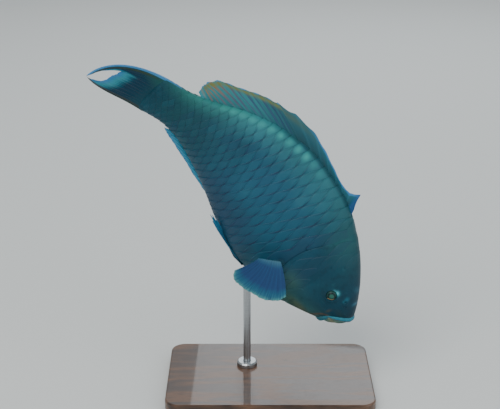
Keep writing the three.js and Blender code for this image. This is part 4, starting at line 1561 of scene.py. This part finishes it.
@dataclass(frozen=True)
class BodyColours:
    """Colours of the body: greener along the back, bluer on the flank and darker towards the belly."""

    back: Stops = (
        (0.00, "123543"), (0.08, "183f50"), (0.15, "1c4753"), (0.23, "21535c"), (0.36, "2a6670"),
        (0.52, "31747f"), (0.68, "378089"), (0.82, "327675"), (0.93, "2b6c68"), (1.0, "1f505a"),
    )
    flank: Stops = (
        (0.00, "113543"), (0.07, "173e50"), (0.14, "1b4757"), (0.24, "1c4457"), (0.32, "27546a"),
        (0.42, "2b5a71"), (0.58, "2d5b73"), (0.76, "245262"), (0.90, "1e5059"), (1.0, "174454"),
    )
    # the light stops at 0.08 and 0.16 are painted light that lifts the chin and lower cheek out of their
    # shade
    belly: Stops = (
        (0.00, "2a5258"), (0.08, "40696a"), (0.16, "306264"), (0.26, "205462"), (0.42, "244961"),
        (0.60, "274c66"), (0.80, "205160"), (1.0, "1c4e5e"),
    )
    dark_cloud: str = "0f2c3a"
    light_cloud: str = "3f8f92"
    lip_shade: str = "6a5440"
    lip_line: tuple[float, ...] = (-275.0, -39.5, -2.02, 0.0389)  # cubic in the height
    rear_band: str = "3a9c94"
    tail_rim: str = "4a90c4"
    # painted shade along the base of the spiny dorsal fin
    fin_base_shade: str = "22404a"
    marks: tuple[Mark, ...] = (
        Mark(0.2152, -0.0487, 0.035, 0.030, "456c5e", 0.45),
        Mark(0.1546, -0.0929, 0.040, 0.022, "4c6a54", 0.50),
        Mark(0.1135, -0.0823, 0.035, 0.016, "6a6f50", 0.60),
        Mark(0.2577, 0.1426, 0.045, 0.040, "265f5a", 0.30),
        Mark(0.0703, 0.0021, 0.004, 0.009, "55503e", 0.60),
        Mark(0.1125, 0.0575, 0.008, 0.007, "5accd8", 1.00),
        Mark(0.1220, 0.0560, 0.006, 0.0045, "4a9aa4", 0.60),
        Mark(0.0775, 0.0718, 0.007, 0.0065, "33788e", 0.50),
        Mark(0.0465, 0.0794, 0.005, 0.007, "38809a", 0.50),
        Mark(0.0746, 0.0604, 0.005, 0.004, "2c7488", 0.50),
        Mark(0.0825, 0.1091, 0.012, 0.008, "2a6478", 0.50),
        # dark oval just above the pectoral fin's root: painted shadow
        Mark(0.2859, -0.0397, 0.022, 0.014, "10303f", 0.60),
        Mark(0.0420, 0.0250, 0.020, 0.010, "283f3c", 0.35),
        Mark(0.1350, 0.0250, 0.012, 0.010, "12303c", 0.45),
    )

    def ground(self, paint: Paint) -> Tint:
        """Three ramps from snout to tail, mixed from back to belly and varied by cloudy noise."""
        station, girth, _ = paint.attribute("place").split()
        back, flank, belly = (paint.ramp(station, stops) for stops in (self.back, self.flank, self.belly))
        ground = back.toward(flank, girth.smooth(0.05, 0.36)).toward(belly, girth.smooth(0.52, 0.86))
        cloud = paint.noise(paint.object_place(), 26.0, 3.0)
        return ground.under(
            (self.dark_cloud, cloud.smooth(0.60, 0.30) * 0.30),
            (self.light_cloud, cloud.smooth(0.60, 0.85) * 0.16),
        )

    def laid(self, paint: Paint) -> Tint:
        """Ground colour with the marks of the head and of the back.

        A brown line runs behind the lower lip, where the station is a cubic of the height. A lighter band
        lies along the rear of the back, and the strip under the spiny dorsal fin is darkened by painted
        shade.

        Args:
            paint: Material in which the nodes are made.

        Returns:
            The colour at each point of the body.
        """
        station, girth, _ = paint.attribute("place").split()
        s, z, _ = paint.attribute("straight").split()
        cube, square, slope, start = self.lip_line
        line = z * (z * (z * cube + square) + slope) + start
        within = z.smooth(-0.100, -0.085) * z.smooth(-0.004, -0.012)
        fin_base_shade_share = girth.smooth(0.060, 0.030) * station.smooth(0.30, 0.36) * station.smooth(0.66, 0.58)
        return self.ground(paint).under(*(mark.layer(s, z) for mark in self.marks)).under(
            (self.lip_shade, (s - line).bell(0.0, 0.0042) * within * 0.75),
            (self.rear_band, girth.smooth(0.15, 0.04) * station.bell(0.79, 0.13) * 0.5),
            (self.tail_rim, girth.smooth(0.060, 0.020) * station.smooth(0.925, 0.955) * 0.8),
            # painted shade on the strip under the spiny dorsal fin's base
            (self.fin_base_shade, fin_base_shade_share * 0.55),
        )


@dataclass(frozen=True)
class SkinFinish:
    """Skin of the head and of what shows between scales."""

    colours: BodyColours = BodyColours()
    dark_fleck: str = "0f2c38"
    light_fleck: str = "3c7f88"
    roughness: float = 0.46
    specular: float = 0.16

    def make(self) -> Material:
        """Body colours with dark and light flecks of noise, over a fine grain of noise and pores."""
        paint = Paint("fish_skin")
        place = paint.object_place()
        mottle = paint.noise(place, 150.0, 4.0)
        colour = self.colours.laid(paint).under(
            (self.dark_fleck, mottle.smooth(0.52, 0.30) * 0.30),
            (self.light_fleck, mottle.smooth(0.60, 0.80) * 0.16),
        )
        pores = paint.cells(place, 520.0)
        height = paint.noise(place, 900.0, 4.0) * 0.5 + pores * 0.5
        roughness = paint.noise(place, 60.0) * 0.2 + (self.roughness - 0.1)
        return paint.done(colour, roughness, paint.relief(height, 0.22 * MM), specular=self.specular)


@dataclass(frozen=True)
class ScaleFinish:
    """Scales: dark crescents that bow towards the head, bright spots in the top row and growth lines."""

    colours: BodyColours = BodyColours()
    crescent: str = "151d3e"
    # painted highlight on each scale, just behind its crescent
    highlight_behind_crescent: str = "2f6f84"
    pale_scale: str = "2f6c80"
    dark_scale: str = "283c60"
    spot: str = "3da29e"
    roughness: float = 0.44
    specular: float = 0.18

    def make(self) -> Material:
        """Body colours changed by the place on each scale, over growth lines in a cosine along it.

        Each crescent runs over two neighbours, so its line is a parabola in the place on a scale, counted
        from the scale's corners.

        Returns:
            The material.
        """
        paint = Paint("fish_scales")
        station, girth, _ = paint.attribute("place").split()
        along_it, across, draw = paint.attribute("scale").split()
        corner = abs(across) - 0.862
        front = along_it - corner * corner * 0.455
        patch = girth.smooth(0.05, 0.16) * girth.smooth(0.98, 0.72)
        strength = patch * station.smooth(0.22, 0.36) * station.smooth(0.96, 0.66)
        uneven = paint.noise(paint.object_place(), 70.0, 2.0)
        line = front.bell(0.735, 0.055) * corner.bell(0.0, 0.52) * (uneven.smooth(0.30, 0.62) * 0.5 + 0.5)
        spot = across.bell(0.0, 0.50) * along_it.bell(0.74, 0.20) * girth.bell(0.078, 0.042)
        spot = spot * station.smooth(0.42, 0.54) * station.smooth(0.86, 0.74)
        spot = spot * (station.bell(0.58, 0.14) * 0.55 + 0.45)
        colour = self.colours.laid(paint).under(
            (self.crescent, line * (strength * 0.68 + 0.04)),
            # painted highlight behind each crescent
            (self.highlight_behind_crescent, front.bell(0.835, 0.050) * strength * 0.22),
            (self.pale_scale, draw.smooth(0.70, 1.0) * 0.18),
            (self.dark_scale, draw.smooth(0.30, 0.0) * 0.20),
            (self.spot, spot * (uneven.smooth(0.25, 0.70) * 0.5 + 0.35)),
        )
        rings = (along_it * 26.0 + across * across * 5.0).wave()
        streaks = paint.noise(paint.attribute("scale").scaled((3.0, 22.0, 40.0)), 1.0)
        normal = paint.relief(rings * 0.35 + streaks * 0.65, 0.16 * MM)
        return paint.done(colour, self.roughness, normal, specular=self.specular)


@dataclass(frozen=True)
class FinFinish:
    """Fin with one run of colours along its membranes and one along its rays."""

    name: str
    membrane: Stops
    rays: Stops
    streaks: str = "1a3a55"
    roughness: float = 0.42
    specular: float = 0.2

    def streak(self, paint: Paint, across: float, outwards: float, scale: float = 1.4,
               detail: float = 4.0) -> Value:
        """Noise stretched along the rays, by its steps from ray to ray and from root to margin."""
        return paint.noise(paint.attribute("fin").scaled((across, outwards, 0.0)), scale, detail)

    def base(self, paint: Paint, v: Value, rays: Value) -> Tint:
        """Colours of the membranes at a distance from the root, mixed with those of the rays by a share."""
        return paint.ramp(v, self.membrane).toward(paint.ramp(v, self.rays), rays)

    def colour(self, paint: Paint) -> Tint:
        """Membrane and ray colours from root to margin, with uneven streaks along the rays."""
        _, v, ridge = paint.attribute("fin").split()
        streak = self.streak(paint, 3.0, 1.6, 1.5)
        colour = self.base(paint, v + (streak - 0.5) * 0.10, ridge.smooth(0.15, 0.75))
        return colour.under((self.streaks, streak.smooth(0.52, 0.30) * 0.6))

    def make(self) -> Material:
        """Thin skin in the fin's colours, with fine lines along the rays and joints across them."""
        paint = Paint(self.name)
        lines = self.streak(paint, 18.0, 2.0, 2.0, 3.0)
        joints = (paint.attribute("fin").split()[1] * 42.0).wave()
        normal = paint.relief(lines * 0.7 + joints * 0.3, 0.12 * MM)
        return paint.done(self.colour(paint), self.roughness, normal, specular=self.specular)


@dataclass(frozen=True)
class SpinyDorsalFinish(FinFinish):
    """Spiny dorsal fin: dark teal with a thin bright blue margin on its front part."""

    grey: str = "3a3f44"
    olive: str = "5a663c"
    margin: str = "3f86bc"
    first_spine: str = "27548e"

    def colour(self, paint: Paint) -> Tint:
        """Ramps from root to margin, then the margin, which fades towards the soft fin."""
        ray_number, v, ridge = paint.attribute("fin").split()
        streak = self.streak(paint, 1.6, 1.4, detail=3.0)
        edge = (v + (streak - 0.5) * 0.06).smooth(0.80, 0.88) * ray_number.smooth(6.7, 5.3)
        return self.base(paint, v, ridge.smooth(0.2, 0.8) * 0.6).under(
            (self.grey, streak.smooth(0.50, 0.75) * v.smooth(0.7, 0.4) * 0.4),
            (self.olive, v.bell(0.80, 0.14) * ray_number.smooth(5.2, 7.6) * 0.45),
            (self.margin, edge * 0.9), (self.first_spine, ray_number.smooth(1.6, 0.9) * 0.8),
        )


@dataclass(frozen=True)
class SoftDorsalFinish(FinFinish):
    """Soft dorsal fin: purple and orange streaks, an olive band and a blue margin."""

    last_ray: float = 9.0
    front: str = "25505f"
    orange: str = "b0803a"
    olive: str = "7c8440"
    corner: str = "4299a8"
    margin: str = "3f92c4"

    def colour(self, paint: Paint) -> Tint:
        """Streaks between teal membranes, then the bands that run along the margin.

        Args:
            paint: Material in which the nodes are made.

        Returns:
            The colour at each point of the fin.
        """
        ray_number, v, _ = paint.attribute("fin").split()
        streak = self.streak(paint, 2.2, 1.2)
        t = ray_number / self.last_ray
        stripe = (ray_number * 1.5 + v * 0.4 + (streak - 0.5) * 1.2).wave()
        colour = paint.ramp(v, self.membrane).under((self.front, t.smooth(0.45, 0.05) * 0.7))
        mauve = stripe.smooth(0.30, 0.90) * v.smooth(0.10, 0.40) * 0.75
        edge = v + (streak - 0.5) * 0.04
        olive = edge.bell(0.90, 0.075) * t.smooth(0.93, 0.80) * (stripe * 0.4 + 0.6)
        blobs = ray_number.wave().smooth(0.55, 0.85) + t.smooth(0.60, 0.80)
        return colour.toward(paint.ramp(t, self.rays), mauve).under(
            (self.orange, stripe * v.smooth(0.40, 0.75) * t.smooth(0.40, 0.75) * 0.5),
            (self.olive, olive * 0.85),
            (self.corner, t.smooth(0.88, 0.98) * v.smooth(0.15, 0.50) * 0.8),
            (self.margin, edge.smooth(0.955, 0.975) * blobs.least(1.0) * 0.9),
        )


@dataclass(frozen=True)
class TailFinish(FinFinish):
    """Tail fin: navy centre, light-blue upper edge, crescent patch at the rear and brown lower edge."""

    last_ray: float = 14.0
    root: str = "246058"
    crescent: str = "3a9cac"
    rear_edge: str = "3a7fc0"
    upper_band: str = "3c4a2c"
    upper_edge: str = "4a90c6"
    lower_band: str = "4a4436"
    lower_edge: str = "24403c"

    def colour(self, paint: Paint) -> Tint:
        """Bands laid by ray number and by distance from the root.

        Args:
            paint: Material in which the nodes are made.

        Returns:
            The colour at each point of the fin.
        """
        ray_number, v, ridge = paint.attribute("fin").split()
        streak = self.streak(paint, 3.5, 0.7)
        share = ray_number / self.last_ray
        inner = v + (streak - 0.5) * 0.34
        within = share.smooth(0.11, 0.22) * share.smooth(0.965, 0.90)
        return self.base(paint, v, ridge.smooth(0.2, 0.9) * 0.3).under(
            (self.root, v.smooth(0.42, 0.06) * share.smooth(0.50, 0.08) * 0.6),
            (self.crescent, inner.smooth(0.56, 0.84) * within * 0.9),
            (self.rear_edge, inner.smooth(0.80, 1.0) * within * 0.8),
            (self.upper_band, share.bell(0.085, 0.030) * v.smooth(0.04, 0.30) * 0.8),
            (self.upper_edge, share.smooth(0.055, 0.035)),
            (self.lower_band, share.bell(0.955, 0.025) * 0.7),
            (self.lower_edge, share.smooth(0.965, 0.985) * 0.8),
        )


@dataclass(frozen=True)
class EyeFinish:
    """Eye: green sheen in the pupil, a dark ring and a cream rim on one side."""

    rings: Stops = (
        (0.00, "285a50"), (0.22, "306a5c"), (0.40, "2b5c52"), (0.52, "10282b"), (0.63, "0f2528"),
        (0.72, "1c3a3a"), (0.82, "2d5550"), (0.95, "1e4046"),
    )
    crescent: str = "cdb080"
    crescent_side: tuple[float, float] = (-0.641, -0.767)  # towards the back and towards the tail
    roughness: float = 0.38
    coat: float = 0.06
    specular: float = 0.16

    def make(self) -> Material:
        """Rings by the distance from the front pole, and a crescent on the side towards the mouth."""
        paint = Paint("fish_eye")
        up, tail, _ = paint.attribute("eye").split()
        radius = (up * up + tail * tail) ** 0.5
        veins = paint.noise(paint.attribute("eye").scaled((9.0, 9.0, 0.0)), 1.4, 4.0)
        towards = up * self.crescent_side[0] + tail * self.crescent_side[1]
        crescent = towards.smooth(0.44, 0.62) * radius.smooth(0.60, 0.68) * 0.9
        colour = paint.ramp(radius + (veins - 0.5) * 0.05, self.rings).under((self.crescent, crescent))
        normal = paint.relief(veins, 0.1 * MM, 0.2)
        return paint.done(colour, self.roughness, normal, specular=self.specular, coat=self.coat)


@dataclass(frozen=True)
class LipFinish:
    """Lip: turquoise-blue flesh with a tan edge next to the beak."""

    name: str
    flesh: str
    edge: str
    edge_side: float  # 1 or −1, the side of the roll next to the beak
    mottle: str = "30788e"
    roughness: float = 0.5
    specular: float = 0.16

    def make(self) -> Material:
        """Flesh colour with fine creases, and the edge on one side of the roll."""
        paint = Paint(self.name)
        _, up, _ = paint.attribute("lip").split()
        mottle = paint.noise(paint.object_place(), 240.0, 4.0)
        colour = paint.mix(mottle.smooth(0.35, 0.7), srgb(self.flesh), srgb(self.mottle))
        colour = colour.under((self.edge, (up * self.edge_side).smooth(0.55, 0.85) * 0.85))
        creases = paint.noise(paint.attribute("lip").scaled((60.0, 4.0, 4.0)), 1.0, 3.0)
        normal = paint.relief(creases * 0.7 + mottle * 0.3, 0.3 * MM)
        return paint.done(colour, self.roughness, normal, specular=self.specular)


@dataclass(frozen=True)
class BeakFinish:
    """Enamel of the beak plates, cream at the cutting edge and blue-green at the root."""

    enamel: Stops = ((0.0, "2f6b70"), (0.45, "4f8480"), (0.75, "77907c"), (1.0, "9c9a80"))
    facet: str = "3b5d5a"
    roughness: float = 0.34
    coat: float = 0.15
    specular: float = 0.3

    def make(self) -> Material:
        """Ramp from root to edge with small tooth facets."""
        paint = Paint("beak_enamel")
        _, w, _ = paint.attribute("beak").split()
        facets = paint.cells(paint.attribute("beak").scaled((34.0, 6.0, 0.0)), 1.0)
        colour = paint.ramp(w, self.enamel).under((self.facet, facets.smooth(0.45, 0.75) * 0.45))
        normal = paint.relief(facets, 0.2 * MM)
        return paint.done(colour, self.roughness, normal, specular=self.specular, coat=self.coat)


@dataclass(frozen=True)
class WoodFinish:
    """Dark stained wood with long grain."""

    dark: str = "3a261c"
    light: str = "6a4a34"
    pore: str = "20140f"
    coat: float = 0.4

    def make(self) -> Material:
        """Stretched noise turned into rings, with fine pores along the grain."""
        paint = Paint("base_wood")
        place = paint.object_place()
        warp = paint.noise(place.scaled((4.0, 18.0, 18.0)), 1.0, 4.0)
        rings = (warp * 7.0 + paint.noise(place.scaled((1.5, 60.0, 60.0)), 1.0, 2.0) * 2.0).wave()
        pores = paint.noise(place.scaled((90.0, 1500.0, 1500.0)), 1.0, 2.0)
        colour = paint.mix(rings, srgb(self.dark), srgb(self.light))
        colour = colour.under((self.pore, pores.smooth(0.5, 0.32) * 0.6))
        return paint.done(colour, 0.32 + rings * 0.12, paint.relief(pores, 0.12 * MM), coat=self.coat)


@dataclass(frozen=True)
class MetalFinish:
    """Brushed stainless steel."""

    dark: str = "9a9ea2"
    light: str = "c4c8cb"

    def make(self) -> Material:
        """Grey metal with fine lines round the rod."""
        paint = Paint("rod_metal")
        lines = paint.noise(paint.object_place().scaled((40.0, 40.0, 2600.0)), 1.0, 2.0)
        colour = paint.mix(lines, srgb(self.dark), srgb(self.light))
        return paint.done(colour, 0.26 + lines * 0.14, paint.relief(lines, 0.03 * MM), metallic=1.0)


@dataclass(frozen=True)
class BodyCover:
    """Skin of the whole body, with the scales and the eye of each side."""

    skin: SkinFinish = SkinFinish()
    scales: ScaleFinish = ScaleFinish()
    eye: EyeFinish = EyeFinish()

    def pieces(self) -> Pieces:
        """Builds and dresses the skin, which stands for the body's six solids, and each side's pieces."""
        skin, scales, eye = self.skin.make(), self.scales.make(), self.eye.make()
        yield dressed(Skin().build(), skin, "skin", "head", "gill_cover_right", "gill_cover_left",
                      "trunk_front", "trunk_rear", "tail_stalk")
        for side in Side:
            yield dressed(ScaleCoat(side).build(), scales, "skin")
            yield dressed(Orbit(side).build(), skin, "head_skin")
            yield dressed(Eyeball(side).build(), eye, "eye", f"eye_{side.name.lower()}")


@dataclass(frozen=True)
class Mouth:
    """Two fleshy lips and the two beak plates between them."""

    upper_height: float = 3.8 * MM  # half the height of the upper lip
    lower_height: float = 4.4 * MM
    upper_finish: LipFinish = LipFinish("lip_upper_flesh", "367f92", "80644a", 1.0)
    lower_finish: LipFinish = LipFinish("lip_lower_flesh", "376e7c", "75604a", 1.0)
    enamel: BeakFinish = BeakFinish()

    def pieces(self) -> Pieces:
        """Builds and dresses the lips and then the beak plates."""
        upper, lower = MOUTH.upper_lip, MOUTH.lower_lip
        yield dressed(Lip("upper_lip", upper, self.upper_height).build(), self.upper_finish.make(),
                      "lip", "lip_upper")
        yield dressed(Lip("lower_lip", lower, self.lower_height).build(), self.lower_finish.make(),
                      "lip", "lip_lower")
        enamel = self.enamel.make()
        yield dressed(Beak("upper_beak", upper, 1).build(), enamel, "beak_enamel", "beak_upper")
        yield dressed(Beak("lower_beak", lower, -1).build(), enamel, "beak_enamel", "beak_lower")


@dataclass(frozen=True)
class MiddleFins:
    """Fins in the middle plane: two on the back, one on the belly and the tail, each in its colours."""

    spines: MedianShape = MedianShape(
        (0.308, 0.330, 0.352, 0.385, 0.420, 0.458, 0.498, 0.540, 0.586),
        (6, 18.5, 9, 8, 12.5, 19.5, 27, 37, 40.5), (42, 58, 42, 30, 30, 30, 30, 30, 30), 1,
    )
    soft: MedianShape = MedianShape(
        (0.582, 0.872), (40.5, 39.5, 40, 41.5, 44, 44, 39.5, 29.5, 19, 6),
        (30, 30, 30.5, 31, 31.5, 32, 33, 35, 38, 42), 1,
    )
    anal: MedianShape = MedianShape(
        (0.60, 0.862), (7.5, 10.5, 13, 14.5, 15.5, 16, 17, 18.5, 18.5, 15.5, 11, 6.5),
        (16, 18, 20, 20, 20, 20, 20, 20, 20, 20, 21, 22), -1,
    )
    tail: TailShape = TailShape()
    spiny_finish: FinFinish = SpinyDorsalFinish(
        "dorsal_spiny_skin", ((0.0, "234850"), (0.5, "275a68"), (1.0, "2f6e80")),
        ((0.0, "26525c"), (0.5, "2d6474"), (1.0, "347a90")),
    )
    soft_finish: FinFinish = SoftDorsalFinish(
        "dorsal_soft_skin", ((0.0, "2c6c72"), (0.4, "347c84"), (1.0, "3a8e96")),
        ((0.0, "2c4a66"), (0.35, "3c4f74"), (0.55, "5a5274"), (0.75, "74606c"), (0.95, "86705c")),
    )
    anal_finish: FinFinish = FinFinish(
        "anal_skin", ((0.0, "1f5066"), (0.35, "28748c"), (0.8, "3a94ba"), (1.0, "326eb0")),
        ((0.0, "245c74"), (0.6, "449cbe"), (1.0, "5cb8d6")),
    )
    tail_finish: FinFinish = TailFinish(
        "tail_skin",
        ((0.0, "194855"), (0.12, "184553"), (0.35, "143c50"), (0.7, "12344c"), (1.0, "1b4864")),
        ((0.0, "194855"), (0.3, "164254"), (1.0, "1e5276")),
    )

    def pieces(self) -> Pieces:
        """Builds and dresses the four fins from the nape to the tail."""
        spiny = RayFin("dorsal_spiny", 9, self.spines.surface, forks=False, notch=0.06, rows=44)
        yield dressed(spiny.build(), self.spiny_finish.make(), "fin", "dorsal_fin_spiny")
        soft = RayFin("dorsal_soft", 10, self.soft.surface)
        yield dressed(soft.build(), self.soft_finish.make(), "fin", "dorsal_fin_soft")
        anal = RayFin("anal", 12, self.anal.surface)
        yield dressed(anal.build(), self.anal_finish.make(), "fin", "anal_fin")
        tail = RayFin("tail", 15, self.tail.surface, rows=90, notch=0.01, swell=1.0 * MM, rays_start=0.45)
        yield dressed(tail.build(), self.tail_finish.make(), "fin", "tail_fin_upper", "tail_fin_lower")


@dataclass(frozen=True)
class PairedFins:
    """Pectoral and pelvic fins, the left ones mirrored from the right ones."""

    pectoral: FanShape = FanShape(
        (0.285, -0.046), (0.327, -0.110), (-0.400, 0.905, 0.130), (0.200, 0.800, -0.560),
        (55, 64, 65, 62, 58, 54, 51, 47, 41, 32), (-1.5, 0.0, 1.0),
    )
    pelvic: FanShape = FanShape(
        (0.335, -0.183), (0.368, -0.191), (0.985, 0.11, 0.00), (0.98, 0.03, 0.17),
        (40, 57, 64, 59, 49, 36), (0.0, 0.6, -1.6),
    )
    # the pale stops at 0.06 and 0.07 are a painted highlight along the fin's base, and the pale margin from
    # 0.92 on is painted light
    pectoral_finish: FinFinish = FinFinish(
        "pectoral_skin",
        ((0.0, "2c5866"), (0.06, "4e7c8e"), (0.12, "42708c"), (0.24, "2c4c76"), (0.72, "2c4a75"),
         (0.92, "366c84"), (1.0, "55989a")),
        ((0.0, "2e5c6a"), (0.07, "568796"), (0.2, "315a84"), (0.7, "2d4d7a"), (0.92, "3b738a"),
         (1.0, "60a09e")), "2b4068",
    )
    pelvic_finish: FinFinish = FinFinish(
        "pelvic_skin", ((0.0, "1d4256"), (0.5, "1f5474"), (1.0, "2c7296")),
        ((0.0, "20485c"), (0.6, "2a6a8c"), (1.0, "3a86ac")),
    )

    def pieces(self) -> Pieces:
        """Builds and dresses both fins of each side."""
        blue, pelvic_blue = self.pectoral_finish.make(), self.pelvic_finish.make()
        for side in Side:
            name = side.name.lower()
            pectoral = RayFin(f"pectoral_{name}", 13, partial(self.pectoral.surface, side), rows=72,
                              swell=1.3 * MM, ray_rise=0.09 * MM, notch=0.012)
            yield dressed(pectoral.build(), blue, "fin", f"pectoral_fin_{name}")
            pelvic = RayFin(f"pelvic_{name}", 6, partial(self.pelvic.surface, side), notch=0.08)
            yield dressed(pelvic.build(), pelvic_blue, "fin", f"pelvic_fin_{name}")


@dataclass(frozen=True)
class DisplayStand:
    """Base, rod and collar, which keep the shapes of their solids."""

    wood: WoodFinish = WoodFinish()
    metal: MetalFinish = MetalFinish()

    def pieces(self) -> Pieces:
        """Gives each solid its finish."""
        wood, metal = self.wood.make(), self.metal.make()
        for node, material in (("stand_base", wood), ("stand_rod", metal), ("stand_collar", metal)):
            piece = bpy.data.objects[node]
            for slot in piece.material_slots:
                slot.material = material
            yield piece


@dataclass(frozen=True)
class Lamp:
    """Square soft light."""

    name: str
    place: tuple[float, float, float]
    size: float
    power: float
    code: str

    def hang(self, target: tuple[float, float, float]) -> None:
        """Puts the light in its place, facing a target."""
        lamp = bpy.data.lights.new(self.name, "AREA")
        lamp.size, lamp.energy, lamp.color = self.size, self.power, srgb(self.code)
        holder = bpy.data.objects.new(self.name, lamp)
        turn = (Vector(target) - Vector(self.place)).to_track_quat("-Z", "Y")
        holder.matrix_world = Matrix.Translation(self.place) @ turn.to_matrix().to_4x4()
        bpy.context.scene.collection.objects.link(holder)


@dataclass(frozen=True)
class Studio:
    """Pale floor, soft lights and the camera at the photograph's angle."""

    floor_half: float = 7.0
    floor_colour: str = "d9dcdc"
    floor_grain: str = "dfe2e1"
    floor_roughness: float = 0.85
    lamps: tuple[Lamp, ...] = (
        Lamp("key", (-0.9, -1.6, 2.2), 1.8, 44.0, "fffdf8"),
        Lamp("fill", (2.0, -1.4, 1.1), 1.8, 16.0, "f4f9ff"),
        Lamp("back", (0.4, 2.0, 1.8), 1.4, 20.0, "f7fcff"),
    )
    target: tuple[float, float, float] = (0.0, 0.0, 0.2)
    surroundings: Colour = (0.80, 0.84, 0.86)
    surroundings_strength: float = 0.55
    tilt: float = 20.0  # degrees that the camera looks down
    offset: tuple[float, float, float] = (-0.0972483, 0.1256306, 1.1793716)  # right, up and back
    lens: float = 80.0
    sensor: float = 36.0

    def floor(self) -> None:
        """Wide plain floor, which isn't part of the object."""
        h = self.floor_half
        points = np.array([[-h, -h, 0], [h, -h, 0], [h, h, 0], [-h, h, 0]], dtype=float)
        piece = make_object("floor", MeshParts(points, [np.array([[0, 1, 2, 3]])], {}), posed=False)
        paint = Paint("floor_paper")
        grain = paint.noise(paint.object_place(), 300.0)
        colour = paint.mix(grain, srgb(self.floor_colour), srgb(self.floor_grain))
        piece.data.materials.append(paint.done(colour, self.floor_roughness))

    def world(self) -> None:
        """Even pale surroundings."""
        world = bpy.data.worlds.new("surroundings")
        world.use_nodes = True
        background = world.node_tree.nodes["Background"]
        background.inputs["Color"].default_value = (*self.surroundings, 1.0)
        background.inputs["Strength"].default_value = self.surroundings_strength
        bpy.context.scene.world = world

    def camera(self) -> None:
        """Camera that looks down on the fish, placed from its snout."""
        turn = math.radians(self.tilt)
        across = Vector((1.0, 0.0, 0.0))
        upward = Vector((0.0, math.sin(turn), math.cos(turn)))
        backward = Vector((0.0, -math.cos(turn), math.sin(turn)))
        right, up, away = self.offset
        lens = bpy.data.cameras.new("view")
        lens.lens, lens.sensor_width = self.lens, self.sensor
        lens.clip_start, lens.clip_end = 0.01, 50.0
        view = bpy.data.objects.new("view", lens)
        place = Vector(POSE.snout) + across * right + upward * up + backward * away
        turned = Matrix((across, upward, backward)).transposed()
        view.matrix_world = Matrix.Translation(place) @ turned.to_4x4()
        bpy.context.scene.collection.objects.link(view)
        bpy.context.scene.camera = view

    def build(self) -> None:
        """Everything round the object."""
        self.floor()
        for lamp in self.lamps:
            lamp.hang(self.target)
        self.world()
        self.camera()


def main() -> None:
    """Builds the sub-assemblies in order, reports their pieces and sets up the studio."""
    for assembly in (BodyCover(), Mouth(), MiddleFins(), PairedFins(), DisplayStand()):
        for piece in assembly.pieces():
            log.info("%s: %d faces", piece.name, len(piece.data.polygons))
    Studio().build()


if __name__ == "__main__":
    main()
